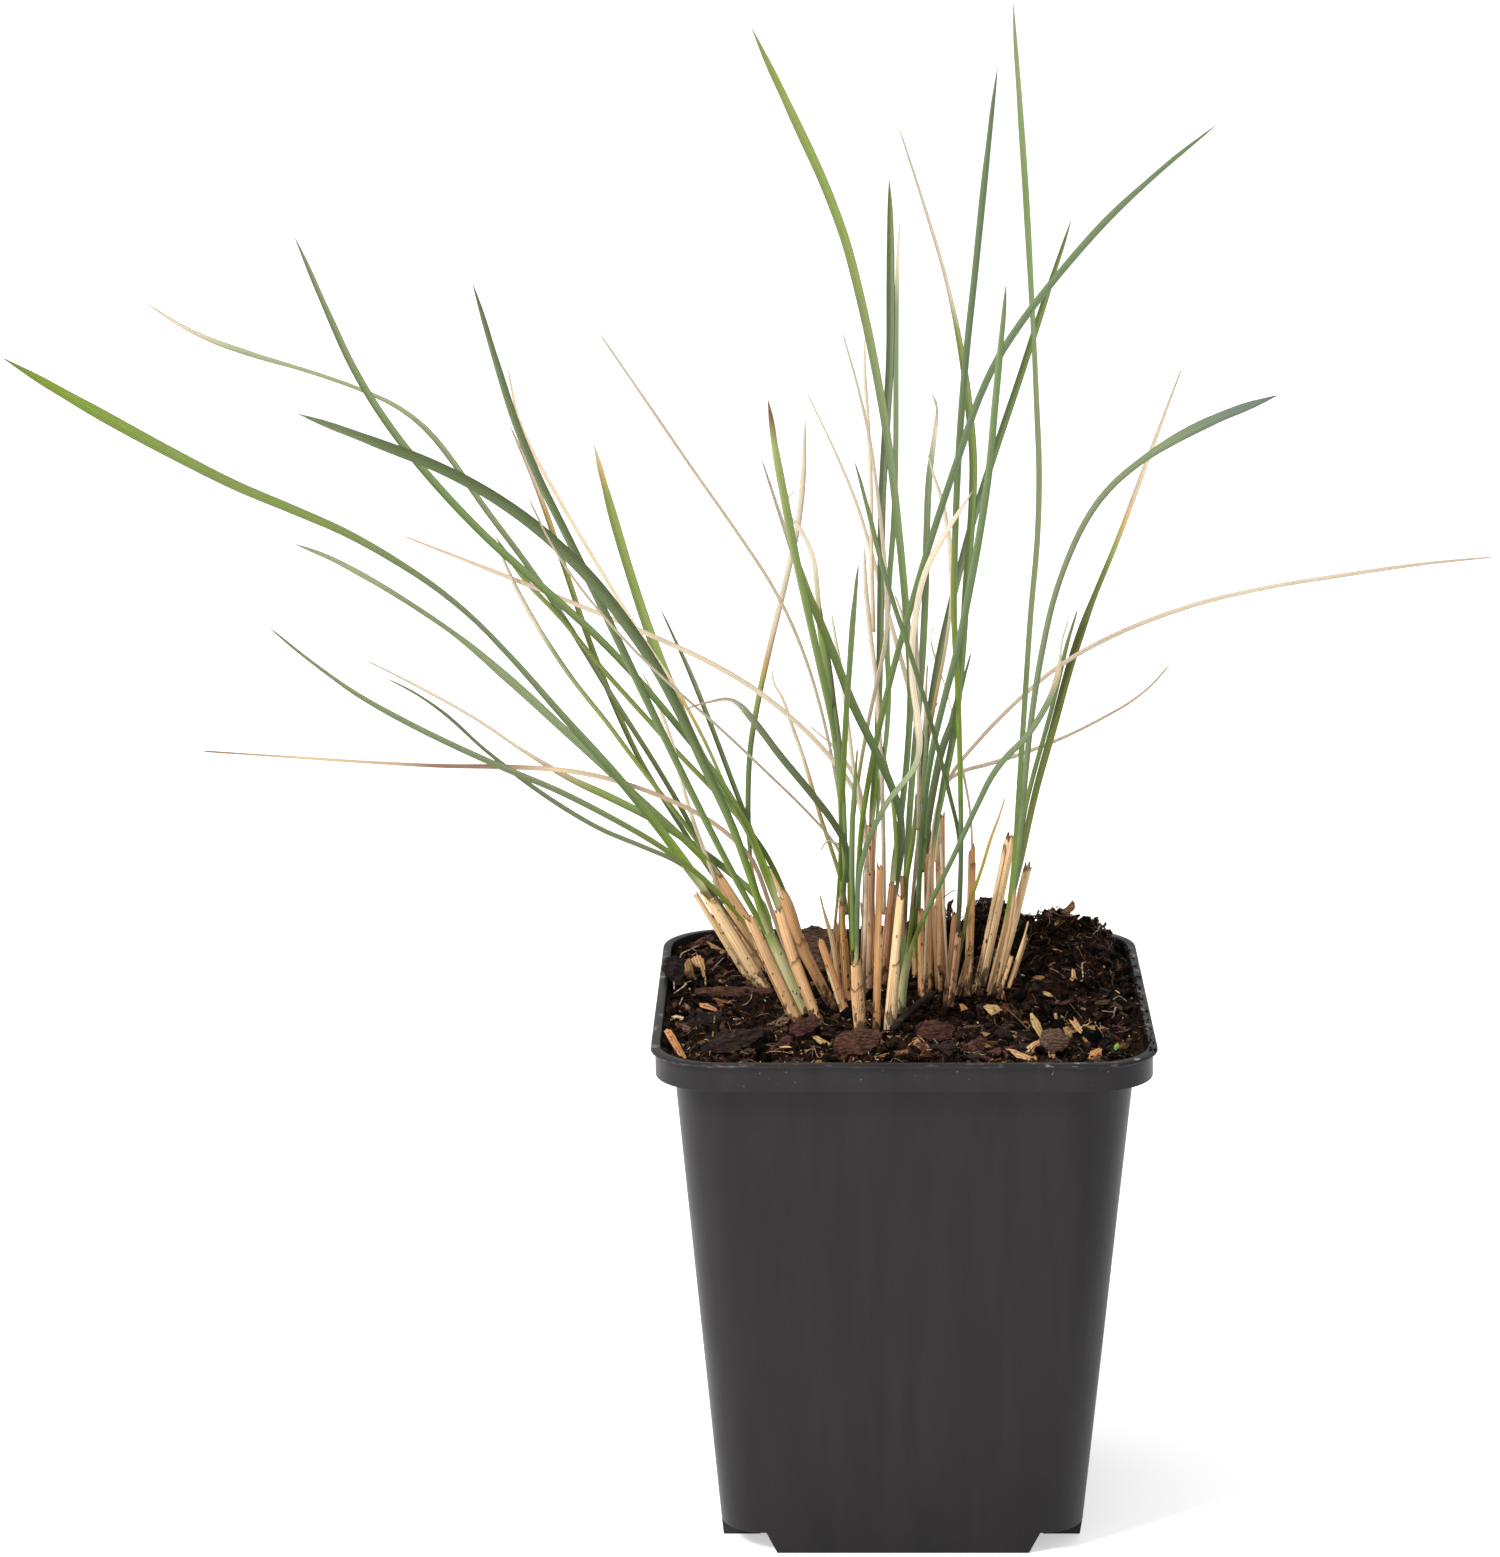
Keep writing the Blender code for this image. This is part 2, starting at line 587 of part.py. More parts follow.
def drawn_to_space(points, tip_depth):
    """The drawn points as a curve in space, leaning from the foot in the mix to the depth of the tip."""
    drawn = smooth_curve(points)
    foot_depth = soil_point(*points[0])[1]
    along = run_lengths(drawn)
    share = along / along[-1]
    depths = foot_depth + (tip_depth - foot_depth) * share**LEAN_POWER
    return np.array([lift(x, z, depth) for (x, z), depth in zip(drawn, depths)])


def ring_distances(line, start):
    """Where the rings of a blade go from a start along its line: closer together where it bends more."""
    along = run_lengths(line)
    steps = np.diff(line, axis=0)
    steps /= np.linalg.norm(steps, axis=1)[:, None]
    bends = np.arccos(np.clip((steps[1:] * steps[:-1]).sum(axis=1), -1, 1))
    need = along / RING_SPACING
    need[1:-1] += np.cumsum(bends) / RING_BEND
    need[-1] = need[-2] + (along[-1] - along[-2]) / RING_SPACING
    first = np.interp(start, along, need)
    count = max(7, round(need[-1] - first) + 1)
    return np.interp(np.linspace(first, need[-1], count), need, along)


def points_at(line, distances):
    along = run_lengths(line)
    return np.stack([np.interp(distances, along, line[:, axis]) for axis in range(3)], axis=1)


class Strand:
    """One straw, shoot or leaf: a line of ring centres with a size at each ring."""

    def __init__(self, name, look, centres, wide, deep, fold, sides, turn=0.0, pointed=True):
        self.name = name
        self.look = look
        self.centres = centres
        self.wide = np.array(wide)
        self.deep = np.array(deep)
        self.fold = np.array(fold)
        self.sides = sides
        self.turn = turn
        self.pointed = pointed

    def rings(self):
        """A ring of points round each centre, and round the root below the first one."""
        run = self.centres[1] - self.centres[0]
        root = self.centres[0] - run * ROOT_DEPTH / np.linalg.norm(run)
        centres = np.concatenate(([root], self.centres))
        sizes = (self.wide, self.deep, self.fold)
        wide, deep, fold = (np.concatenate((size[:1], size)) for size in sizes)
        side, face = ring_axes(centres, self.turn)
        angles = np.arange(self.sides) * 2 * math.pi / self.sides
        rings = []
        for i, centre in enumerate(centres):
            across = np.outer(np.cos(angles) * wide[i], side[i])
            through = np.outer(np.sin(angles) * deep[i] + np.abs(np.cos(angles)) * fold[i], face[i])
            rings.append(centre + across + through)
        return rings

    def make(self):
        rings = self.rings()
        tip = None
        if self.pointed:
            tip = rings.pop().mean(axis=0)
        add_object(self.name, skin(rings, tip), self.look)

    def make_pocket(self, cutters):
        """The hole in the mix that this strand stands in."""
        start, along = self.centres[0], self.centres[1] - self.centres[0]
        along /= np.linalg.norm(along)
        radius = (max(self.wide[0], self.deep[0]) + CLEARANCE) / math.cos(math.pi / STEM_SIDES)
        ends = np.array([start - along * (ROOT_DEPTH + CLEARANCE), start + along * POCKET_REACH])
        side, face = ring_axes(ends, 0.0)
        angles = np.arange(STEM_SIDES) * 2 * math.pi / STEM_SIDES
        rings = []
        for i in range(2):
            outline = np.outer(np.cos(angles), side[i]) + np.outer(np.sin(angles), face[i])
            rings.append(ends[i] + radius * outline)
        add_cutter(f"{self.name}_pocket", skin(rings), cutters)


def ring_axes(centres, turn):
    """Across and face directions at each ring: flat to the line of sight, then turned about the line."""
    tangent = np.gradient(centres, axis=0)
    tangent /= np.linalg.norm(tangent, axis=1)[:, None]
    sight = centres - EYE
    side = np.cross(tangent, sight)
    side /= np.linalg.norm(side, axis=1)[:, None]
    face = np.cross(side, tangent)
    outwards = centres * (1.0, 1.0, 0.0)
    outwards /= np.linalg.norm(outwards, axis=1)[:, None]
    if (face * ((0.0, 0.0, 1.0) - outwards)).sum() < 0:
        side, face = -side, -face
    c, s = math.cos(turn), math.sin(turn)
    return side * c + face * s, face * c - side * s


def turned_width(drawn):
    """The real width of a blade that looks this wide, and how far it is turned away."""
    real = np.maximum(drawn, WIDTH_SHARE * drawn + WIDTH_EXTRA)
    return real, math.acos(min(1.0, float(drawn.max() / real.max())))


def blade_sizes(share, widths, dry):
    """Half width, half thickness, fold and turn of a blade at each share of its length."""
    if dry:
        half = np.interp(share, (0.0, 0.5, TIP_START, 1.0), (*widths, 0.0)) / 2
        deep = np.clip(half, THINNEST / 2, DRY_THICKNESS / 2)
        return half, deep, half * 0.0, 0.0
    real, turn = turned_width(np.interp(share, (0.0, 0.5, TIP_START), widths))
    half = real / 2 * np.interp(share, (TIP_START, 1.0), (1.0, 0.0))
    deep = np.full_like(half, BLADE_THICKNESS / 2)
    return half, deep, half * 2 * FOLD, turn


def straw_strand(name, foot_radius, cut_radius, lean, points):
    foot = soil_point(*points[0])
    line = drawn_to_space(points, foot[1] + lean)
    length = run_lengths(line)[-1]
    distances = np.linspace(0, length, len(points))
    sizes = np.interp(distances, (0, length), (foot_radius, cut_radius))
    centres = points_at(line, distances)
    return Strand(name, "straw", centres, sizes, sizes, sizes * 0.0, STEM_SIDES, pointed=False)


def leaf_strand(name, tip_depth, widths, way, dry, points):
    line = drawn_to_space(points, tip_depth)
    distances = ring_distances(line, 0.0)
    half, deep, fold, turn = blade_sizes(distances / distances[-1], widths, dry)
    look = "dry" if dry else "green"
    return Strand(name, look, points_at(line, distances), half, deep, fold, BLADE_SIDES, way * turn)


def shoot_strand(name, radius, cut_height, tip_depth, widths, way, dry, points):
    line = drawn_to_space(points, tip_depth)
    rising = len(line) // 2
    cut = np.interp(cut_height, smooth_curve(points)[:rising, 1], run_lengths(line)[:rising])
    blade = ring_distances(line, cut + COLLAR)
    half, deep, fold, turn = blade_sizes((blade - blade[0]) / (blade[-1] - blade[0]), widths, dry)
    distances = np.concatenate(((0.0, cut * 0.5, cut), blade))
    wide = np.concatenate(((radius, radius, radius * 0.9), half))
    deep = np.concatenate(((radius, radius, radius * 0.9), deep))
    fold = np.concatenate(((0.0, 0.0, 0.0), fold))
    look = "dry" if dry else "green"
    return Strand(name, look, points_at(line, distances), wide, deep, fold, STEM_SIDES, way * turn)


def closest_shares(p, d, q, e):
    """Shares along segments p + s d and q + t e where they come closest, for arrays of segments."""
    r = p - q
    a = (d * d).sum(-1)
    b = (d * e).sum(-1)
    c = (e * e).sum(-1)
    f = (d * r).sum(-1)
    g = (e * r).sum(-1)
    denominator = np.maximum(a * c - b * b, 1e-9)
    s = np.clip((b * g - c * f) / denominator, 0, 1)
    t = np.clip((b * s + g) / c, 0, 1)
    s = np.clip((b * t - f) / a, 0, 1)
    return s, t


def spread_in_depth(strands):
    """Pushes strands that touch apart along the line of sight, so that the front view stays as drawn."""
    owner = np.concatenate([np.full(len(strand.centres) - 1, i) for i, strand in enumerate(strands)])
    first = np.concatenate([np.arange(len(strand.centres) - 1) for strand in strands])
    radius = np.concatenate([np.maximum(strand.wide, strand.deep)[:-1] for strand in strands])
    one, other = np.nonzero(owner[:, None] < owner[None, :])
    reach = radius[one] + radius[other] + CLEARANCE
    for _ in range(PASSES):
        start = np.concatenate([strand.centres[:-1] for strand in strands])
        run = np.concatenate([np.diff(strand.centres, axis=0) for strand in strands])
        s, t = closest_shares(start[one], run[one], start[other], run[other])
        apart = start[one] + run[one] * s[:, None] - start[other] - run[other] * t[:, None]
        distance = np.linalg.norm(apart, axis=1)
        close = np.nonzero(distance < reach)[0]
        if not close.size:
            break
        pushes = [np.zeros(len(strand.centres)) for strand in strands]
        for k in close:
            behind = 1.0 if apart[k, 1] >= 0 else -1.0
            step = behind * (reach[k] - distance[k] + PUSH_EXTRA) / 2
            for segment, share, amount in ((one[k], s[k], step), (other[k], t[k], -step)):
                strand = strands[owner[segment]]
                along = run_lengths(strand.centres)
                spot = np.interp(first[segment] + share, np.arange(len(along)), along)
                shape = np.exp(-(((along - spot) / PUSH_REACH) ** 2)) * np.minimum(1, along / ROOTED_STRETCH)
                push = pushes[owner[segment]]
                bigger = np.abs(shape * amount) > np.abs(push)
                push[bigger] = (shape * amount)[bigger]
        for strand, push in zip(strands, pushes):
            sight = strand.centres - EYE
            strand.centres = strand.centres + sight * (push / sight[:, 1])[:, None]


# Loose pieces


def rotation(turns):
    """A turn about the upright axis after a tilt along the piece and a roll about its length."""
    turn, tilt, roll = (math.radians(angle) for angle in turns)
    return Matrix.Rotation(turn, 4, "Z") @ Matrix.Rotation(tilt, 4, "Y") @ Matrix.Rotation(roll, 4, "X")


def chipped_block(size, at, turns):
    """A block with its edges knocked off."""
    mesh = bmesh.new()
    bmesh.ops.create_cube(mesh, size=1.0)
    bmesh.ops.scale(mesh, vec=[side * MM for side in size], verts=mesh.verts)
    bmesh.ops.bevel(mesh, geom=mesh.edges[:], offset=min(size) * CHIPPED * MM, segments=1, affect="EDGES")
    bmesh.ops.transform(mesh, matrix=rotation(turns), verts=mesh.verts)
    bmesh.ops.translate(mesh, vec=Vector(at) * MM, verts=mesh.verts)
    return mesh


def make_loose_piece(name, drawn, height, size, turns, cutters):
    """A chip or stick, and the hollow in the mix that it lies in."""
    at = soil_point(*drawn, height)
    add_object(name, chipped_block(size, at, turns), "bark")
    hollow = [side + 2 * CLEARANCE for side in size]
    add_cutter(f"{name}_hollow", chipped_block(hollow, at, turns), cutters)


def main():
    clear_scene()
    make_pot()
    strands = [straw_strand(*row) for row in CUT_STRAWS]
    strands += [shoot_strand(*row) for row in SHOOTS]
    strands += [leaf_strand(*row) for row in LEAVES]
    spread_in_depth(strands)
    pockets = cutter_collection("pockets")
    for strand in strands:
        strand.make()
        strand.make_pocket(pockets)
    for row in LOOSE_PIECES:
        make_loose_piece(*row, pockets)
    make_potting_mix(pockets)


main()
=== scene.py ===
# %% [markdown]
# # A potted ornamental grass clump
# A young clump of grass stands in a square black nursery pot. Last year's stems are cut down to straw
# stubble, and new green blades and dry leaves rise between them. This notebook dresses the plain solids of
# that plant. It starts by loading them and keeping the size of their box.

# %% Load the solids
import math
import random

import bpy
import numpy as np
from mathutils import Matrix, Vector, noise
from mathutils.bvhtree import BVHTree


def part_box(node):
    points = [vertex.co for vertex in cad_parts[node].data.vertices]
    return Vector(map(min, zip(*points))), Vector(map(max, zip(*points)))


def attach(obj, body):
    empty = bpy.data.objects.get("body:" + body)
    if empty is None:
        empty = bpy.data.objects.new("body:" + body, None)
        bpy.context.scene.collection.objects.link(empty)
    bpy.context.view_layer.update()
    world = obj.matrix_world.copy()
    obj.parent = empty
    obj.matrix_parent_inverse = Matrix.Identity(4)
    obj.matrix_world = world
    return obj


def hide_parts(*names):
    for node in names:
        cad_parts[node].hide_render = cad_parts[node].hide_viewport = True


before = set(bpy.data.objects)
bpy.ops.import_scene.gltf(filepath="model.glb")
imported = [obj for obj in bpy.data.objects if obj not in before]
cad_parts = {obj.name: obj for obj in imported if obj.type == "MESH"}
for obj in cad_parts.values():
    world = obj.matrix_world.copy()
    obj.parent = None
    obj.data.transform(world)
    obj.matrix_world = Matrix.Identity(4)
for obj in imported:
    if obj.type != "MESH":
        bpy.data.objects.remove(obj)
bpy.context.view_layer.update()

MM = 0.001
BODY = "root"

# %% [markdown]
# ## Working by hand, in code
# Blender's operators work on what is selected, as they do under the mouse. A few small helpers select one
# object, open it in edit mode, pick faces or edges by their place, and apply modifiers. They keep every
# later cell down to the moves that a modeller would make.

# %% Helpers for selecting and editing
def only(*objects):
    """Selects these objects alone. The last one is active."""
    bpy.ops.object.select_all(action="DESELECT")
    for obj in objects:
        obj.select_set(True)
    bpy.context.view_layer.objects.active = objects[-1]


class Editing:
    """Edit mode on one object with all of it selected, for as long as a with block lasts."""

    def __init__(self, obj):
        self.obj = obj

    def __enter__(self):
        only(self.obj)
        bpy.ops.object.mode_set(mode="EDIT")
        bpy.ops.mesh.select_all(action="SELECT")

    def __exit__(self, *_):
        bpy.ops.object.mode_set(mode="OBJECT")


def pick_all():
    bpy.ops.mesh.select_all(action="SELECT")


def extrude(x=0.0, y=0.0, z=0.0):
    """Extrudes what is selected and moves it."""
    bpy.ops.mesh.extrude_region_move(TRANSFORM_OT_translate={"value": (x, y, z)})


def resize(x, y, z, about=(0, 0, 0)):
    """Scales what is selected about a place."""
    bpy.ops.transform.resize(value=(x, y, z), center_override=about)


def face_outwards():
    pick_all()
    bpy.ops.mesh.normals_make_consistent(inside=False)


def pick(obj, kind, test):
    """In edit mode, selects the vertices or faces whose middle passes a test."""
    bpy.ops.mesh.select_mode(type=kind)
    bpy.ops.mesh.select_all(action="DESELECT")
    bpy.ops.object.mode_set(mode="OBJECT")
    mesh = obj.data
    places = [vertex.co for vertex in mesh.vertices]
    for item in mesh.vertices if kind == "VERT" else mesh.polygons:
        corners = [item.index] if kind == "VERT" else item.vertices
        middle = sum((places[corner] for corner in corners), Vector()) / len(corners)
        item.select = bool(test(middle))
    bpy.ops.object.mode_set(mode="EDIT")


def added(name):
    """The object that the last operator added, under its new name."""
    obj = bpy.context.object
    obj.name = obj.data.name = name
    return obj


def modify(obj, kind, **settings):
    """Adds one modifier and applies it at once."""
    only(obj)
    step = obj.modifiers.new(kind.lower(), kind)
    for name, value in settings.items():
        setattr(step, name, value)
    bpy.ops.object.modifier_apply(modifier=step.name)


def smooth(obj, sharp_over=None):
    """Smooth shading. Edges sharper than an angle in degrees stay sharp."""
    only(obj)
    if sharp_over is None:
        bpy.ops.object.shade_smooth()
    else:
        bpy.ops.object.shade_smooth_by_angle(angle=math.radians(sharp_over))


def settle(obj):
    """Moves an object's place, turn and scale into its mesh."""
    only(obj)
    bpy.ops.object.transform_apply(location=True, rotation=True, scale=True)


def copied(master, name):
    """A copy of a master with a mesh of its own."""
    obj = master.copy()
    obj.data = master.data.copy()
    obj.name = obj.data.name = name
    bpy.context.scene.collection.objects.link(obj)
    return obj


def joined(objects, name):
    """One or many objects as one mesh."""
    only(*objects)
    if len(objects) > 1:
        bpy.ops.object.join()
    obj = added(name)
    settle(obj)
    return obj


def discard(*objects):
    for obj in objects:
        bpy.data.objects.remove(obj)


def points_of(mesh):
    """The vertices of a mesh as rows of numbers."""
    flat = np.empty(len(mesh.vertices) * 3)
    mesh.vertices.foreach_get("co", flat)
    return flat.reshape(-1, 3)


def move_points(mesh, points):
    mesh.vertices.foreach_set("co", np.ascontiguousarray(points, float).ravel())
    mesh.update()


# %% [markdown]
# ## Colours and shader maths
# A shader reads best as a formula. The class Wire stands for one output socket and takes part in sums, and
# the class Look holds one material and makes any node from its type, settings and inputs. The tones are
# given as they look on a screen in even light. The lamp and the sky together are a little brighter than
# that, so each value is divided by BRIGHTNESS.

# %% Tones
BRIGHTNESS = 1.75


def linear(*screen):
    """A screen colour, from 0 to 255 in each channel, as the linear colour of a surface."""
    return tuple(((c / 255 + 0.055) / 1.055) ** 2.4 / BRIGHTNESS for c in screen)


TONES = {
    "fresh": linear(140, 166, 56),
    "leaf": linear(144, 162, 84),
    "yellow_green": linear(170, 182, 100),
    "green": linear(126, 148, 86),
    "deep_green": linear(110, 126, 80),
    "blue_green": linear(118, 140, 96),
    "grey_green": linear(138, 152, 110),
    "soft_green": linear(150, 164, 118),
    "pale_green": linear(176, 186, 140),
    "slate_green": linear(116, 130, 112),
    "olive": linear(128, 136, 66),
    "dark_olive": linear(108, 112, 56),
    "yellow": linear(204, 182, 66),
    "orange": linear(228, 186, 116),
    "straw": linear(250, 232, 202),
    "tan": linear(232, 204, 164),
    "tan_pink": linear(236, 208, 180),
    "dull_tan": linear(206, 178, 146),
    "brown": linear(140, 96, 60),
    "cream": linear(255, 238, 206),
    "stubble": linear(234, 186, 134),
    "stubble_pale": linear(250, 212, 160),
    "stubble_orange": linear(228, 170, 112),
    "stubble_pink": linear(228, 176, 136),
    "stubble_grey": linear(206, 156, 108),
    "stubble_brown": linear(190, 138, 96),
    "sheath": linear(214, 211, 156),
    "purple": linear(128, 100, 92),
    "torn": linear(128, 84, 50),
    "dirt": linear(44, 27, 16),
    "peat": linear(42, 26, 17),
    "peat_black": linear(18, 11, 8),
    "peat_brown": linear(86, 58, 40),
    "bark_red": linear(92, 56, 50),
    "bark_brown": linear(98, 65, 51),
    "bark_grey": linear(118, 90, 76),
    "bark_pink": linear(150, 116, 92),
    "bark_dark": linear(58, 42, 38),
    "bark_black": linear(46, 37, 36),
    "bark_orange": linear(142, 92, 60),
    "husk": linear(212, 162, 110),
    "husk_pale": linear(236, 204, 160),
    "husk_yellow": linear(204, 168, 108),
    "husk_gold": linear(160, 120, 70),
    "husk_orange": linear(204, 142, 84),
    "husk_brown": linear(134, 92, 60),
    "grey_wood": linear(156, 144, 138),
    "root": linear(224, 202, 168),
    "seedling": linear(156, 208, 80),
}
print(len(TONES), "tones")


# %% Sockets in sums, and a material
class Wire:
    """An output socket that can be written in sums."""

    def __init__(self, look, socket):
        self.look = look
        self.socket = socket

    def maths(self, operation, *values):
        inputs = dict(enumerate(values))
        return self.look.node("Math", {"operation": operation}, inputs)

    def __add__(self, other):
        return self.maths("ADD", self, other)

    def __sub__(self, other):
        return self.maths("SUBTRACT", self, other)

    def __rsub__(self, other):
        return self.maths("SUBTRACT", other, self)

    def __mul__(self, other):
        return self.maths("MULTIPLY", self, other)

    __radd__ = __add__
    __rmul__ = __mul__

    def sine(self):
        return self.maths("SINE", self)

    def over(self, low, high):
        """0 below low, 1 above high, and a smooth step between them."""
        limits = {"Value": self, "From Min": low, "From Max": high}
        return self.look.node("MapRange", {"interpolation_type": "SMOOTHSTEP"}, limits)


class Look:
    """One material: a Principled shader and the nodes that feed it."""

    def __init__(self, name, shine=0.5):
        self.material = bpy.data.materials.new(name)
        self.material.use_nodes = True
        self.tree = self.material.node_tree
        self.shader = self.tree.nodes["Principled BSDF"]
        self.place = self.node("TexCoord", output="Object")
        self.shader.inputs["Specular IOR Level"].default_value = shine

    def feed(self, socket, value):
        if isinstance(value, Wire):
            self.tree.links.new(value.socket, socket)
        elif socket.type == "RGBA":
            socket.default_value = (*value, 1.0)
        else:
            socket.default_value = value

    def node(self, kind, settings=None, inputs=None, output=0):
        made = self.tree.nodes.new("ShaderNode" + kind)
        for name, value in (settings or {}).items():
            setattr(made, name, value)
        for name, value in (inputs or {}).items():
            self.feed(made.inputs[name], value)
        return Wire(self, made.outputs[output])

    def noise(self, size, detail=3.0, place=None, roughness=0.55):
        """Cloudy values around 0.5, with features of about this size in metres."""
        inputs = {"Vector": place or self.place, "Scale": 1 / size}
        inputs.update({"Detail": detail, "Roughness": roughness})
        return self.node("TexNoise", inputs=inputs)

    def stretched(self, place, *scale):
        """Coordinates made longer or shorter along each axis."""
        return self.node("Mapping", inputs={"Vector": place, "Scale": scale})

    def mix(self, share, low, high):
        """One colour where share is 0 and the other where it is 1."""
        return self.node("Mix", {"data_type": "RGBA"}, {"Factor": share, 6: low, 7: high}, output=2)

    def tinted(self):
        """The colour painted on the mesh."""
        return self.node("Attribute", {"attribute_name": "tint"}, output="Color")

    def shade(self, colour, amount):
        """A colour made darker where amount is below 1 and lighter above it."""
        return self.node("VectorMath", {"operation": "SCALE"}, {0: colour, "Scale": amount})

    def surface(self, colour, roughness, height=None, depth=0.0):
        """Feeds the shader its colour, its roughness and a bump of this depth in metres."""
        self.feed(self.shader.inputs["Base Color"], colour)
        self.feed(self.shader.inputs["Roughness"], roughness)
        if height is not None:
            bump = self.node("Bump", inputs={"Height": height, "Strength": 1.0, "Distance": depth})
            self.feed(self.shader.inputs["Normal"], bump)
        return self.material


# %% Paint, mark and hand over a piece
def paint(obj, colours):
    """Writes a colour for each vertex, or one colour for all of them, to the mesh."""
    count = len(obj.data.vertices)
    rows = np.ones((count, 4))
    rows[:, :3] = colours
    layer = obj.data.color_attributes.new("tint", "FLOAT_COLOR", "POINT")
    layer.data.foreach_set("color", rows.ravel())


def mark(obj, name, values):
    """Writes one number for each vertex to the mesh."""
    layer = obj.data.attributes.new(name, "FLOAT", "POINT")
    layer.data.foreach_set("value", np.array(values, float))


def hand_over(obj, material, slot, *nodes):
    """Gives a finished piece its material and its body, and hides the solids that it stands for. The slot is
    not used.
    """
    obj.data.materials.clear()
    obj.data.materials.append(material)
    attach(obj, BODY)
    if nodes:
        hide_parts(*nodes)
    return obj


print("materials that will ride on", BODY)

# %% [markdown]
# ## Camera, floor and light
# The plant is seen from a little above, through a long lens that keeps the pot nearly square. A wide white
# floor that glows a little, as a light table does, fills the view. The sky is white, and dimmer on the
# right, and one large soft lamp at the upper left models the leaves.

# %% Camera
EYE = Vector((-28.0, -997.0, 371.0)) * MM
LOOK_DOWN = math.radians(13.17)
FOCAL_PIXELS = 5600.0
PHOTO_HEIGHT = 1557.0
SENSOR = 36.0

bpy.ops.object.camera_add(location=EYE, rotation=(math.pi / 2 - LOOK_DOWN, 0, 0))
camera = bpy.context.object
camera.name = "camera"
camera.data.sensor_fit = "VERTICAL"
camera.data.sensor_height = SENSOR
camera.data.lens = SENSOR * FOCAL_PIXELS / PHOTO_HEIGHT
bpy.context.scene.camera = camera
print("lens", round(camera.data.lens, 1), "mm")

# %% Floor, sky and lamp
FLOOR_SIZE = 12.0
FLOOR_GREYS = (0.92, 0.92, 0.92), (0.94, 0.94, 0.94)
FLOOR_GLOW = 0.5
SKY_LEFT = 0.8
SKY_RIGHT = 0.5
SKY_FADES_OVER = (0.1, 0.8)
LAMP_PLACE = (-1.2, -1.0, 1.5)
LAMP_SIZE = 0.5
LAMP_WATTS = 48.0
PLANT_MIDDLE = Vector((0, 0, 0.12))
WHITE = (1.0, 1.0, 1.0, 1.0)

bpy.context.scene.view_settings.view_transform = "Standard"
bpy.ops.mesh.primitive_plane_add(size=FLOOR_SIZE, location=(0, 0, 0))
floor = added("floor")
floor_look = Look("pale_floor")
floor_grain = floor_look.noise(0.4).over(0.3, 0.7)
floor_colour = floor_look.mix(floor_grain, *FLOOR_GREYS)
floor.data.materials.append(floor_look.surface(floor_colour, 0.8))
floor_look.shader.inputs["Emission Color"].default_value = WHITE
floor_look.shader.inputs["Emission Strength"].default_value = FLOOR_GLOW

world = bpy.data.worlds.new("studio")
world.use_nodes = True
sky_nodes = world.node_tree.nodes
sky_way = sky_nodes.new("ShaderNodeTexCoord")
sky_split = sky_nodes.new("ShaderNodeSeparateXYZ")
sky_fade = sky_nodes.new("ShaderNodeMapRange")
sky_limits = (*SKY_FADES_OVER, SKY_LEFT, SKY_RIGHT)
for socket, value in zip(("From Min", "From Max", "To Min", "To Max"), sky_limits):
    sky_fade.inputs[socket].default_value = value
world.node_tree.links.new(sky_way.outputs["Generated"], sky_split.inputs[0])
world.node_tree.links.new(sky_split.outputs["X"], sky_fade.inputs["Value"])
world.node_tree.links.new(sky_fade.outputs[0], sky_nodes["Background"].inputs["Strength"])
sky_nodes["Background"].inputs["Color"].default_value = WHITE
bpy.context.scene.world = world

turn = (PLANT_MIDDLE - Vector(LAMP_PLACE)).to_track_quat("-Z", "Y").to_euler()
bpy.ops.object.light_add(type="AREA", location=LAMP_PLACE, rotation=turn)
lamp = bpy.context.object
lamp.name = "main_lamp"
lamp.data.size = LAMP_SIZE
lamp.data.energy = LAMP_WATTS
print("floor, sky and one lamp of", LAMP_WATTS, "watts")

# %% [markdown]
# ## The moulded pot
# A nursery pot is one thin moulding: a tapered square body with round corners, a band round the top, a small
# lip, and four long feet left by notches at the corners. A square with rounded corners is extruded along the
# profile: up the body, out and up the band, over the lip, and down inside to the floor. The notches and
# drain holes are cut out with booleans.

# %% Pot sizes, from the solid
_, pot_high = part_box("pot")
LIP_HALF = pot_high.x + 0.4 * MM
POT_TOP = pot_high.z
LIP_CORNER = 11.8 * MM
LIP_DEPTH = 0.6 * MM
LIP_FLARE = 0.8 * MM
CORNER_SEGMENTS = 10
BAND_HALF = LIP_HALF - 0.8 * MM
BAND_FOOT = POT_TOP - 5.6 * MM
BODY_TOP_HALF = LIP_HALF - 4.1 * MM
BODY_FOOT_HALF = 32.85 * MM
WALL = 1.2 * MM
LIP_ROUND = 0.4 * MM
FOOT_HEIGHT = 4.0 * MM
FLOOR_TOP = FOOT_HEIGHT + WALL
FOOT_HALF_LENGTH = 23.0 * MM
FOOT_SPLAY = 2.0 * MM
FOOT_INNER = 26.0 * MM
DRAIN_RADIUS = 4.0 * MM
DRAIN_OFFSET = 19.0 * MM
PAD_RADIUS = 8.0 * MM
EDGE_ROUND = 0.35 * MM
# the soft moulding is pushed a little out of square at its top, and sinks towards the front
TOP_TWIST = 0.0136
TOP_NARROWING = 0.006
TOP_SAG = 1.15 * MM
print("pot", round(LIP_HALF * 2 / MM), "mm wide and", round(POT_TOP / MM, 1), "mm high")

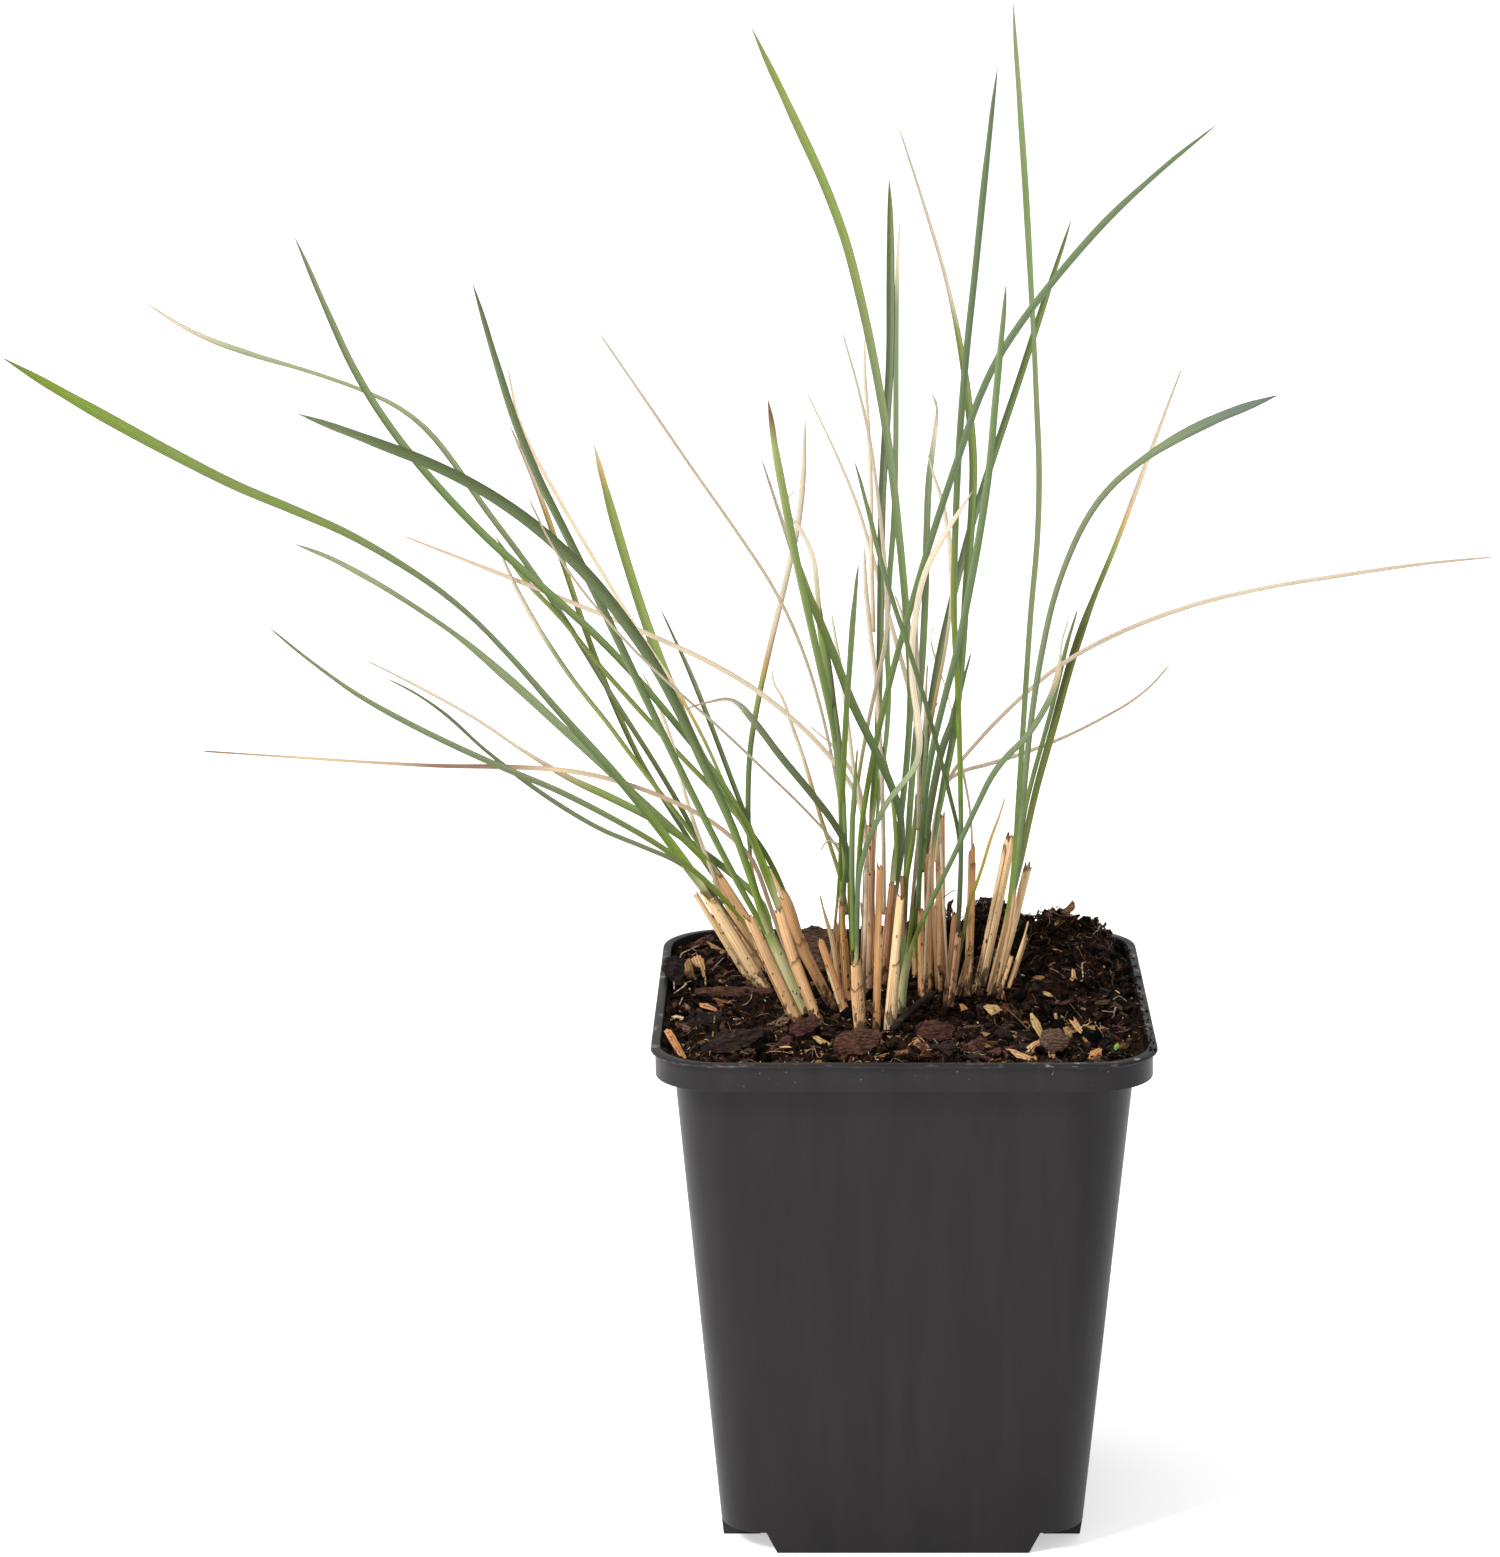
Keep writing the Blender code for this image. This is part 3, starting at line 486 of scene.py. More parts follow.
# %% Extrude the pot along its profile
LEDGE = BAND_FOOT + WALL
POT_PROFILE = (
    # half width, height
    (BODY_TOP_HALF, BAND_FOOT),
    (BAND_HALF, BAND_FOOT + LIP_ROUND / 2),
    (BAND_HALF, POT_TOP - LIP_FLARE),
    (LIP_HALF, POT_TOP - LIP_DEPTH),
    (LIP_HALF, POT_TOP - LIP_ROUND / 2),
    (LIP_HALF - LIP_ROUND, POT_TOP),
    (BAND_HALF - WALL + LIP_ROUND, POT_TOP),
    (BAND_HALF - WALL, LEDGE + LIP_ROUND),
    (BODY_TOP_HALF - WALL, LEDGE),
    (BODY_FOOT_HALF - WALL / 2, FLOOR_TOP),
)


def extrude_profile(half, height, profile):
    """Extrudes the selected face to each half width and height in turn."""
    for next_half, next_height in profile:
        extrude(z=next_height - height)
        resize(next_half / half, next_half / half, 1)
        half, height = next_half, next_height


bpy.ops.mesh.primitive_plane_add(size=2 * BODY_FOOT_HALF, location=(0, 0, 0))
pot = added("pot_shell")
with Editing(pot):
    corner = LIP_CORNER * BODY_FOOT_HALF / LIP_HALF
    bpy.ops.mesh.bevel(offset=corner, segments=CORNER_SEGMENTS, affect="VERTICES")
    bpy.ops.mesh.select_mode(type="FACE")
    pick_all()
    extrude_profile(BODY_FOOT_HALF, 0.0, POT_PROFILE)
    face_outwards()
print("pot shell", len(pot.data.vertices), "vertices")

# %% Cut the notches and drain holes
BELOW = 1.0 * MM


def cut(obj, cutter, operation="DIFFERENCE"):
    modify(obj, "BOOLEAN", object=cutter, operation=operation, solver="EXACT")
    discard(cutter)


bpy.ops.mesh.primitive_cube_add(size=1)
under_floor = added("space_under_floor")
under_floor.scale = (3 * LIP_HALF, 3 * LIP_HALF, FOOT_HEIGHT + BELOW)
under_floor.location.z = (FOOT_HEIGHT - BELOW) / 2
settle(under_floor)
for quarter in range(4):
    bpy.ops.mesh.primitive_cube_add(size=1)
    foot = added("foot")
    foot.scale = (2 * FOOT_HALF_LENGTH, LIP_HALF, 2 * FOOT_HEIGHT)
    foot.location.y = -FOOT_INNER - LIP_HALF / 2
    settle(foot)
    with Editing(foot):
        pick(foot, "FACE", lambda middle: middle.z > FOOT_HEIGHT * 0.9)
        share = 1 + FOOT_SPLAY / FOOT_HALF_LENGTH
        resize(share, 1, 1, about=(0, 0, FOOT_HEIGHT))
        pick(foot, "FACE", lambda middle: middle.z < -FOOT_HEIGHT * 0.9)
        resize(2 - share, 1, 1, about=(0, 0, -FOOT_HEIGHT))
    foot.rotation_euler.z = quarter * math.pi / 2
    settle(foot)
    cut(under_floor, foot)
cut(pot, under_floor)
for across in (-1, 1):
    for along in (-1, 1):
        spot = (across * DRAIN_OFFSET, along * DRAIN_OFFSET, FOOT_HEIGHT)
        bpy.ops.mesh.primitive_cylinder_add(vertices=32, radius=DRAIN_RADIUS, depth=4 * WALL, location=spot)
        cut(pot, added("drain_hole"))
bpy.ops.mesh.primitive_cylinder_add(vertices=40, radius=PAD_RADIUS, depth=FOOT_HEIGHT + WALL / 2)
pad = added("centre_pad")
pad.location.z = (FOOT_HEIGHT + WALL / 2) / 2
settle(pad)
cut(pot, pad, "UNION")
modify(pot, "BEVEL", width=EDGE_ROUND, segments=3, limit_method="ANGLE", angle_limit=math.radians(38))
smooth(pot, 40)


def out_of_square(points):
    """Points of the pot or its soil, moved as the soft rim is."""
    at_top = (points[:, 2] / POT_TOP) ** 3
    back = points[:, 1] / LIP_HALF
    points[:, 0] += (points[:, 1] * TOP_TWIST - points[:, 0] * TOP_NARROWING * (1 + back)) * at_top
    points[:, 2] -= TOP_SAG * (0.5 - back / 2) * at_top
    return points


move_points(pot.data, out_of_square(points_of(pot.data)))
print("pot", len(pot.data.polygons), "faces")

# %% [markdown]
# ### Black plastic
# The plastic is charcoal with a soft satin sheen. Thin moulded walls are never quite flat, so a slow bump
# bends the reflections, and a fine grain sits on top. Dust leaves pale dots on the band, and handling has
# scuffed pale dashes along the lip, most on the right, which also stand in for a painted highlight on the
# lip. Painted shade darkens the inside of the rim and the right side, which is turned from the lamp, and
# the body is darker towards the bottom.

# %% Plastic
LIP_CORE = LIP_HALF - LIP_CORNER
INNER_WALL = (LIP_CORNER - 2.0 * MM, LIP_CORNER - 1.4 * MM)
plastic = Look("black_plastic", shine=0.14)
height = plastic.node("SeparateXYZ", inputs={0: plastic.place}, output="Z")
to_the_right = plastic.node("SeparateXYZ", inputs={0: plastic.place}, output="X")
near_lip = height.over(POT_TOP - 9 * MM, POT_TOP)
under_lip = height.over(POT_TOP - 2.4 * MM, POT_TOP - 1.0 * MM)
on_lip = height.over(POT_TOP - 1.2 * MM, POT_TOP - 0.7 * MM)
cloudy = plastic.noise(14 * MM, 4)
streaks = plastic.noise(5 * MM, 3, plastic.stretched(plastic.place, 1.0, 1.0, 0.07)).over(0.3, 0.7)
dots = plastic.noise(0.7 * MM, 1).over(0.74, 0.79) * near_lip
# pale dashes along the lip: scuffs, raised so that they also stand in for a painted highlight on the lip,
# brightest on the right
dashes = plastic.noise(1.1 * MM, 3, plastic.stretched(plastic.place, 0.35, 0.35, 1.6)).over(0.56, 0.66)
scuffs_and_highlight = to_the_right.over(5 * MM, 34 * MM) * 0.8 + 0.12
scuffs_and_highlight = scuffs_and_highlight + (0 - to_the_right).over(20 * MM, 44 * MM) * 0.4
film = plastic.noise(1.6 * MM, 5).over(0.6, 0.75) * on_lip * 0.08
dust_and_highlight = dots * 0.5 + dashes * under_lip * scuffs_and_highlight * 0.95 + film
charcoal = plastic.mix(cloudy * 0.5 + streaks * 0.5, linear(40, 37, 39), linear(53, 49, 51))
patches = plastic.noise(9 * MM, 2, plastic.stretched(plastic.place, 1.0, 1.0, 0.2)).over(0.35, 0.65)
# painted shade on the right side, which is turned from the lamp; the body is also darker towards the bottom
above_feet = height.over(-6 * MM, 34 * MM)
shaded_right_side = to_the_right.over(26 * MM, 34 * MM)
charcoal = plastic.shade(charcoal, above_feet * 0.35 + patches * near_lip * 0.3 - shaded_right_side * 0.25 + 0.6)
# how far out of a square in plan, whose corners are the middles of the round corners
outward = plastic.node("VectorMath", {"operation": "ABSOLUTE"}, {0: plastic.place})
outward = plastic.node("VectorMath", {"operation": "SUBTRACT"}, {0: outward, 1: (LIP_CORE, LIP_CORE, 1.0)})
outward = plastic.node("VectorMath", {"operation": "MAXIMUM"}, {0: outward, 1: (0.0, 0.0, 0.0)})
outward = plastic.node("VectorMath", {"operation": "LENGTH"}, {0: outward}, output="Value")
# painted shade inside the rim: the inner wall is darkened towards peat black
inner_wall_shade = (1 - outward.over(*INNER_WALL)) * height.over(BAND_FOOT, LEDGE)
plastic_colour = plastic.mix(dust_and_highlight, charcoal, linear(178, 174, 170))
plastic_colour = plastic.mix(inner_wall_shade * 0.8, plastic_colour, TONES["peat_black"])
slow_waves = plastic.noise(22 * MM, 1)
grain = plastic.noise(0.35 * MM, 3)
plastic.surface(plastic_colour, cloudy * 0.16 + 0.34 + dust_and_highlight * 0.3, slow_waves + grain * 0.035, 0.5 * MM)
hand_over(pot, plastic.material, "plastic", "pot")
print("plastic from", len(plastic.tree.nodes), "nodes")

# %% [markdown]
# ## The potting mix
# Potting mix is peat, bark and roots in crumbs of every size, so the surface is built in layers: a bumpy
# ground, then lumps, crumbs, fibres, chips and husks. The ground starts as a fine grid. Its corners are
# drawn in to the outline of the pot, a Shrinkwrap modifier drops it on the solid soil, and noise lifts it
# into clods. Its rim is extruded down to the floor of the pot, so it is one closed body.

# %% The ground
SOIL_GRID = 170
SOIL_HALF = BAND_HALF - WALL + 0.2 * MM
SOIL_CORNER = 11.2 * MM
SOIL_EDGE_TOP = POT_TOP - 1.0 * MM
CLOD_SIZE = 4.5 * MM
CLOD_RISE = 2.6 * MM
LUMP_SIZE = 1.5 * MM
LUMP_RISE = 1.0 * MM
LUMP_REACH = 0.6
CLOD_SINK = 0.35
SMOOTH_PASSES = 6
HEAP_FROM, HEAP_TO = 14 * MM, 44 * MM
HEAP_DEPTH = 29.0
HEAP_FOOT = 96.5
STRETCHES = (0.4, 2.2)
DROP = 5 * MM
RIM_STRIP = 1.5 * MM
RIDGE = (
    # the top edge of the heap as it is seen from the front, in millimetres
    (9.5, 106), (11.5, 112), (13.7, 115), (17, 115), (20, 113), (24, 110.5), (26, 112.3), (31, 112),
    (34, 110.5), (37, 109.5), (40, 106.5),
)

_, soil_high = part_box("potting_mix")
bpy.ops.mesh.primitive_grid_add(x_subdivisions=SOIL_GRID, y_subdivisions=SOIL_GRID, size=2 * SOIL_HALF)
soil = added("potting_mix_ground")


def round_the_corners(points, half, corner):
    """Draws the corners of a square grid in to a rounded outline."""
    core = np.clip(points[:, :2], corner - half, half - corner)
    away = points[:, :2] - core
    square = np.abs(away).max(axis=1)
    length = np.linalg.norm(away, axis=1)
    share = np.divide(square, length, out=np.ones_like(length), where=length > 1e-9)
    rounded = points.copy()
    rounded[:, :2] = core + away * share[:, None]
    return rounded


def clods(x, y):
    """How far the ground rises above the solid soil at a place."""
    place = Vector((x, y, 0.0))
    clod = noise.turbulence(place / CLOD_SIZE, 3, False) * CLOD_RISE
    near = noise.voronoi(place / LUMP_SIZE)[0][0]
    return clod + max(0.0, LUMP_REACH - near) * LUMP_RISE - CLOD_RISE * CLOD_SINK


def raise_the_ridge(points):
    """Stretches the heap upwards or down until its top edge is seen where it was drawn."""
    farther = (HEAP_DEPTH - EYE.y / MM) / (-EYE.y / MM)
    ridge_x = [(EYE.x / MM + (x - EYE.x / MM) * farther) * MM for x, _ in RIDGE]
    ridge_z = [EYE.z / MM + (z - EYE.z / MM) * farther for _, z in RIDGE]
    on_heap = (points[:, 1] > HEAP_FROM) & (points[:, 1] < HEAP_TO)
    on_heap &= (points[:, 0] > ridge_x[0]) & (points[:, 0] < ridge_x[-1])
    slices = np.round(points[:, 0] / MM).astype(int)
    for number in np.unique(slices[on_heap]):
        here = on_heap & (slices == number)
        rise = points[here, 2] / MM - HEAP_FOOT
        wanted = np.interp(number * MM, ridge_x, ridge_z) - HEAP_FOOT
        stretch = np.clip(wanted / max(rise.max(), 1.0), *STRETCHES)
        points[here, 2] = (HEAP_FOOT + np.where(rise > 0, rise * stretch, rise)) * MM


ground = round_the_corners(points_of(soil.data), SOIL_HALF, SOIL_CORNER)
ground[:, 2] = soil_high.z + DROP
move_points(soil.data, ground)
modify(
    soil, "SHRINKWRAP", target=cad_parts["potting_mix"], wrap_method="PROJECT",
    use_project_x=False, use_project_y=False, use_project_z=True, use_negative_direction=True,
)
ground = points_of(soil.data)
outline = np.abs(ground[:, :2]).max(axis=1)
missed = ground[:, 2] > soil_high.z + DROP / 2
ground[missed, 2] = SOIL_EDGE_TOP
move_points(soil.data, ground)
with Editing(soil):
    bpy.ops.mesh.vertices_smooth(factor=0.5, repeat=SMOOTH_PASSES, xaxis=False, yaxis=False)
ground = points_of(soil.data)
raise_the_ridge(ground)
ground[:, 2] += [clods(x, y) for x, y, _ in ground]
at_rim = outline > SOIL_HALF - RIM_STRIP
ground[at_rim, 2] = np.minimum(ground[at_rim, 2], SOIL_EDGE_TOP)
near_rim = np.clip(outline / SOIL_HALF * 4 - 3, 0, 1)[:, None]
ground = ground * (1 - near_rim) + out_of_square(ground.copy()) * near_rim
move_points(soil.data, ground)
print("soil from", round(ground[:, 2].min() / MM, 1), "to", round(ground[:, 2].max() / MM, 1), "mm")

# %% Close the soil down to the floor of the pot
SOIL_SIDES = (
    # half width, height
    (BODY_TOP_HALF - 2 * WALL, LEDGE),
    (BODY_FOOT_HALF - WALL, FLOOR_TOP + 0.3 * MM),
)
reached = SOIL_HALF
with Editing(soil):
    bpy.ops.mesh.select_mode(type="EDGE")
    bpy.ops.mesh.select_all(action="DESELECT")
    bpy.ops.mesh.select_non_manifold()
    extrude()
    resize(1, 1, 0, about=(0, 0, LEDGE + LIP_ROUND))
    for half, height in SOIL_SIDES:
        extrude()
        resize(half / reached, half / reached, 0, about=(0, 0, height))
        reached = half
    bpy.ops.mesh.edge_face_add()
    face_outwards()
smooth(soil)
paint(soil, TONES["peat"])
print("closed soil", len(soil.data.polygons), "faces")

# %% [markdown]
# ### Peat, bark and husks
# Wet peat is nearly black, with brown threads. The crumbs and chips carry a tint of their own, painted on
# the mesh, so one material serves hundreds of pieces. Bark has long fibres, and husks have stripes along
# them.

# %% Soil, bark and husk materials
peat = Look("peat", shine=0.06)
mottle = peat.noise(1.3 * MM, 5).over(0.36, 0.66)
threads = peat.noise(0.3 * MM, 3, peat.stretched(peat.place, 1.0, 3.0, 1.0)).over(0.6, 0.72)
peat_colour = peat.shade(peat.tinted(), mottle * 1.9 + 0.12)
peat_colour = peat.mix(threads * 0.5, peat_colour, TONES["peat_brown"])
crumbly = peat.noise(0.6 * MM, 6, roughness=0.7)
peat.surface(peat_colour, 0.62 - mottle * 0.36, crumbly, 1.0 * MM)

bark = Look("bark", shine=0.12)
bark_fibres = bark.noise(0.5 * MM, 5, bark.stretched(bark.place, 0.35, 1.0, 1.6))
bark_colour = bark.shade(bark.tinted(), bark_fibres.over(0.3, 0.7) * 1.5 + 0.3)
bark_colour = bark.mix(bark.noise(0.8 * MM, 4).over(0.56, 0.7) * 0.6, bark_colour, TONES["peat"])
worn = bark.noise(1.6 * MM, 5).over(0.58, 0.68) * 0.35
bark_colour = bark.mix(worn, bark_colour, TONES["bark_pink"])
bark.surface(bark_colour, 0.4 + bark_fibres * 0.3, bark_fibres, 0.9 * MM)

husk = Look("husk", shine=0.25)
husk_lines = husk.noise(0.3 * MM, 4)
husk_across = husk.node("Attribute", {"attribute_name": "across"}, output="Fac")
stripes = (husk_across * 12.0 + husk.noise(1.8 * MM, 2) * 6.0).sine().over(-0.6, 0.8)
husk_colour = husk.shade(husk.tinted(), husk_lines.over(0.3, 0.7) * 0.6 + stripes * 0.6 + 0.56)
husk_colour = husk.mix(husk.noise(1.1 * MM, 4).over(0.56, 0.66) * 0.75, husk_colour, TONES["dirt"])
husk.surface(husk_colour, 0.55, husk_lines, 0.15 * MM)
hand_over(soil, peat.material, "soil", "potting_mix")
print("peat, bark and husk")

# %% [markdown]
# ### Masters for the loose pieces
# A crumb is a small ball pushed in and out by noise. A bark chip is a block that loses its corners to a few
# cuts. A husk is a thin leaf shape curled along its length. All are one unit long and lie along X, so that
# scaling sets their size. What is strewn by the hundred has only a few dozen faces.

# %% Crumb, chip and husk masters
def crumb_master(seed):
    bpy.ops.mesh.primitive_uv_sphere_add(segments=6, ring_count=4, radius=0.5)
    obj = added(f"crumb_{seed}")
    shift = Vector((seed * 7.0, 0, 0))
    rough = [v.co * (0.8 + 1.1 * noise.noise(v.co * 3.1 + shift)) for v in obj.data.vertices]
    move_points(obj.data, rough)
    smooth(obj)
    return obj


def chip_master(seed, cuts, grooved):
    """A block one unit long that loses its corners to a few slanting cuts. A grooved one has finer faces."""
    draw = random.Random(seed)
    bpy.ops.mesh.primitive_cube_add(size=1)
    obj = added(f"chip_{seed}")
    with Editing(obj):
        for _ in range(cuts):
            way = Vector((draw.uniform(-1, 1), draw.uniform(-1, 1), draw.uniform(-0.4, 0.4))).normalized()
            middle = way * draw.uniform(0.34, 0.5)
            pick_all()
            bpy.ops.mesh.bisect(plane_co=middle, plane_no=way, use_fill=True, clear_outer=True)
        pick_all()
        if grooved:
            bpy.ops.mesh.bevel(offset=0.05, segments=1, affect="EDGES")
            pick_all()
        bpy.ops.mesh.quads_convert_to_tris()
        if grooved:
            bpy.ops.mesh.subdivide(number_cuts=2)
    shift = Vector((0, seed * 5.0, 0))
    points = []
    for vertex in obj.data.vertices:
        groove = noise.noise(Vector((vertex.co.x * 2, vertex.co.y * 9, vertex.co.z * 6)) + shift)
        points.append(vertex.co + vertex.normal * groove * 0.07)
    move_points(obj.data, points)
    return obj


def husk_master(name, curl):
    """A thin boat shape, pointed at both ends, that curls up along its sides."""
    bpy.ops.mesh.primitive_grid_add(x_subdivisions=7, y_subdivisions=2, size=1)
    obj = added(name)
    points = points_of(obj.data)
    along = points[:, 0] * 2
    half = np.sqrt(np.clip(1 - np.abs(along) ** 2.4, 0.002, 1))
    across = points[:, 1] * 2
    points[:, 1] = across * half / 2
    points[:, 2] = curl * (across * half) ** 2 * 0.5 + 0.10 * along**2
    move_points(obj.data, points)
    modify(obj, "SOLIDIFY", thickness=0.05, offset=0)
    return obj


crumb_masters = [crumb_master(seed) for seed in range(5)]
splinter_masters = [chip_master(seed, 3, False) for seed in (5, 6, 7)]
chip_masters = [chip_master(seed, cuts, True) for seed, cuts in ((1, 4), (2, 5), (3, 6), (4, 7))]
husk_masters = [husk_master("flat_husk", 0.5), husk_master("curled_husk", 1.1)]
for master in (crumb_masters[0], splinter_masters[0], chip_masters[0], husk_masters[0]):
    print(master.name, "has", len(master.data.polygons), "faces")

# %% [markdown]
# ### Where a thing lies
# A ray dropped from above finds the height of the ground in plan. For the pieces that stand out in the front
# view, a ray from the camera through a drawn point finds the place on the ground that is seen there.

# %% Find places on the ground
UP = Vector((0, 0, 1))
soil_corners = [vertex.co for vertex in soil.data.vertices]
soil_faces = [tuple(face.vertices) for face in soil.data.polygons if len(face.vertices) == 4]
soil_tree = BVHTree.FromPolygons(soil_corners, soil_faces)


def dropped(x, y):
    """Place and upward direction of the ground below a point in plan."""
    place, normal, _, _ = soil_tree.ray_cast(Vector((x, y, 2 * POT_TOP)), -UP)
    return (place, normal) if place else (Vector((x, y, SOIL_EDGE_TOP)), UP)


def seen(x, z):
    """Place on the ground behind a point of the front view, given in millimetres."""
    way = (Vector((x, 0.0, z)) * MM - EYE).normalized()
    place, _, _, _ = soil_tree.ray_cast(EYE, way)
    return place if place else Vector((x, 0.0, z)) * MM


def turned(forward, up):
    """A rotation whose X axis points forward and whose Z axis is as near up as it can be."""
    x = forward.normalized()
    y = up.cross(x).normalized()
    z = x.cross(y)
    return Matrix((x, y, z)).transposed().to_4x4()


class Pile:
    """Small copies of a few masters, gathered as rows of points, so that thousands make one mesh quickly."""

    def __init__(self, masters):
        self.shapes = []
        for master in masters:
            faces = [tuple(face.vertices) for face in master.data.polygons]
            self.shapes.append((points_of(master.data), faces))
        self.points = []
        self.faces = []
        self.tints = []
        self.count = 0

    def add(self, number, middle, forward, up, size, colour):
        """One more copy of a master, scaled, turned, moved and tinted."""
        corners, faces = self.shapes[number]
        turn = np.array(turned(forward, up).to_3x3())
        self.points.append(corners * size @ turn.T + np.array(middle))
        self.faces += [[corner + self.count for corner in face] for face in faces]
        self.tints += [colour] * len(corners)
        self.count += len(corners)

    def mesh(self, name, sharp_over):
        """The whole pile as one object. Edges sharper than an angle in degrees stay sharp."""
        data = bpy.data.meshes.new(name)
        data.from_pydata(np.concatenate(self.points).tolist(), [], self.faces)
        obj = bpy.data.objects.new(name, data)
        bpy.context.scene.collection.objects.link(obj)
        smooth(obj, sharp_over)
        paint(obj, self.tints)
        return obj


SHADES = (0.65, 1.6)


def shade_of(tones, draw):
    """One of the named tones, a little lighter or darker."""
    tone = np.array(TONES[draw.choice(tones)])
    return tone * draw.uniform(*SHADES)


print("middle of the soil is at", round(dropped(0, 0)[0].z / MM, 1), "mm")

# %% [markdown]
# ### Scattering
# Crumbs lie thickest, and chips and husks gather at the front. A fixed seed keeps the same soil each time.
# The copies are gathered into one mesh for each kind.

# %% Scatter crumbs, chips and husks
def random_spot(draw, inset, front=0.0):
    """A random place in plan inside the pot. Front is the share drawn from the front third."""
    half = SOIL_HALF - inset
    while True:
        x = draw.uniform(-half, half)
        y = draw.uniform(-half, half)
        if draw.random() < front:
            y = draw.uniform(-half, -half / 3)
        core = half - SOIL_CORNER
        away = math.hypot(max(0, abs(x) - core), max(0, abs(y) - core))
        if away < SOIL_CORNER:
            return x, y


def scatter(
    name, masters, count, sizes, flatness, tones, seed, front=0.0, sink=0.3, lean=0.35, sharp_over=40
):
    """Copies of the masters lying at random on the ground, as one mesh."""
    draw = random.Random(seed)
    pile = Pile(masters)
    for _ in range(count):
        length = sizes[0] * (sizes[1] / sizes[0]) ** draw.random() ** 1.6
        x, y = random_spot(draw, length / 2, front)
        place, up = dropped(x, y)
        tip = Vector((draw.gauss(0, lean), draw.gauss(0, lean), 0))
        turn = draw.uniform(0, 2 * math.pi)
        width = length * draw.uniform(*flatness[0])
        thick = length * draw.uniform(*flatness[1])
        middle = place + up * thick * (0.5 - sink)
        forward = Vector((math.cos(turn), math.sin(turn), draw.gauss(0, 0.2)))
        colour = shade_of(tones, draw)
        size = (length, width, thick)
        pile.add(draw.randrange(len(masters)), middle, forward, up + tip, size, colour)
    return pile.mesh(name, sharp_over)


DARK = ("peat", "peat", "peat", "peat_black", "peat_black", "peat_brown")
crumbs = scatter(
    "peat_crumbs", crumb_masters, 4600, (0.6 * MM, 1.9 * MM), ((0.35, 1.0), (0.35, 0.9)), DARK,
    seed=11, lean=0.8, sink=0.15,
)
hand_over(crumbs, peat.material, "soil")
lumps = scatter(
    "peat_lumps", crumb_masters, 640, (1.8 * MM, 4.6 * MM), ((0.5, 1.0), (0.4, 0.8)), DARK,
    seed=12, lean=0.6,
)
hand_over(lumps, peat.material, "soil")
print(len(crumbs.data.polygons), "faces of crumbs")

# %% Scatter splinters and chips
SPLINTERS = ("bark_brown", "bark_dark", "bark_black", "bark_black", "peat_brown", "bark_red", "peat")
splinters = scatter(
    "bark_splinters", splinter_masters, 560, (1.2 * MM, 5.0 * MM), ((0.15, 0.45), (0.08, 0.25)), SPLINTERS,
    seed=41, front=0.3, lean=0.6, sink=0.1,
)
hand_over(splinters, bark.material, "bark")
BARKS = ("bark_red", "bark_brown", "bark_dark", "bark_black", "bark_grey", "bark_black", "bark_dark")
chips = scatter(
    "bark_chips", chip_masters, 80, (1.8 * MM, 4.8 * MM), ((0.5, 0.9), (0.2, 0.4)), BARKS,
    seed=23, front=0.45, lean=0.5,
)
hand_over(chips, bark.material, "bark")
print(len(splinters.data.polygons), "faces of splinters,", len(chips.data.polygons), "of chips")

# %% Scatter husks, and pale flecks that also stand in for painted glints
HUSKS = ("husk_brown", "husk_gold", "husk_orange", "bark_orange", "husk_yellow", "husk")
husks = scatter(
    "husks", husk_masters, 260, (1.0 * MM, 4.4 * MM), ((0.12, 0.35), (0.2, 0.4)), HUSKS,
    seed=31, front=0.45, lean=0.8, sharp_over=80,
)
hand_over(husks, husk.material, "bark")
# pale flecks: small pale bits of the mix, strewn thick and on top so that they also stand in for painted
# glints on wet peat
FLECK_AND_GLINT_TONES = ("husk_pale", "root", "husk", "husk_orange", "bark_pink", "bark_pink")
flecks = scatter(
    "pale_flecks_and_glints", splinter_masters, 720, (0.3 * MM, 1.2 * MM), ((0.2, 0.6), (0.1, 0.3)), FLECK_AND_GLINT_TONES,
    seed=37, front=0.2, lean=0.8, sink=-0.4,
)
hand_over(flecks, husk.material, "bark")
print(len(husks.data.polygons), "faces of husks,", len(flecks.data.polygons), "of flecks")

# %% Crumbs on the right rim of the pot
RIM_CRUMBS = 130
RIM_SIZES = (0.3, 1.0)
RIM_INSETS = (0.5, 2.2)
RIM_STRETCH = (-38, 30)
CRUMB_SHAPE = np.array((1.0, 0.7, 0.6))
draw = random.Random(43)
pile = Pile(crumb_masters)
for _ in range(RIM_CRUMBS):
    x = LIP_HALF - draw.uniform(*RIM_INSETS) * MM
    place = out_of_square(np.array([[x, draw.uniform(*RIM_STRETCH) * MM, POT_TOP]]))[0]
    size = draw.uniform(*RIM_SIZES) * MM * CRUMB_SHAPE
    way = Vector((draw.gauss(0, 1), 1, 0))
    pile.add(draw.randrange(len(crumb_masters)), place, way, UP, size, shade_of(DARK, draw))
hand_over(pile.mesh("rim_crumbs", 80), peat.material, "soil")
print(RIM_CRUMBS, "crumbs on the rim")

# %% [markdown]
# ### Pieces drawn in the front view
# The largest chips and husks are drawn as outlines in the front view, in millimetres. An outline is moved
# along its lines of sight to a plane that touches the ground at its lowest point. The plane's tilt runs from
# lying flat to facing the viewer. A circle with as many corners is moved to those points, given a raised
# middle, roughened and thickened.

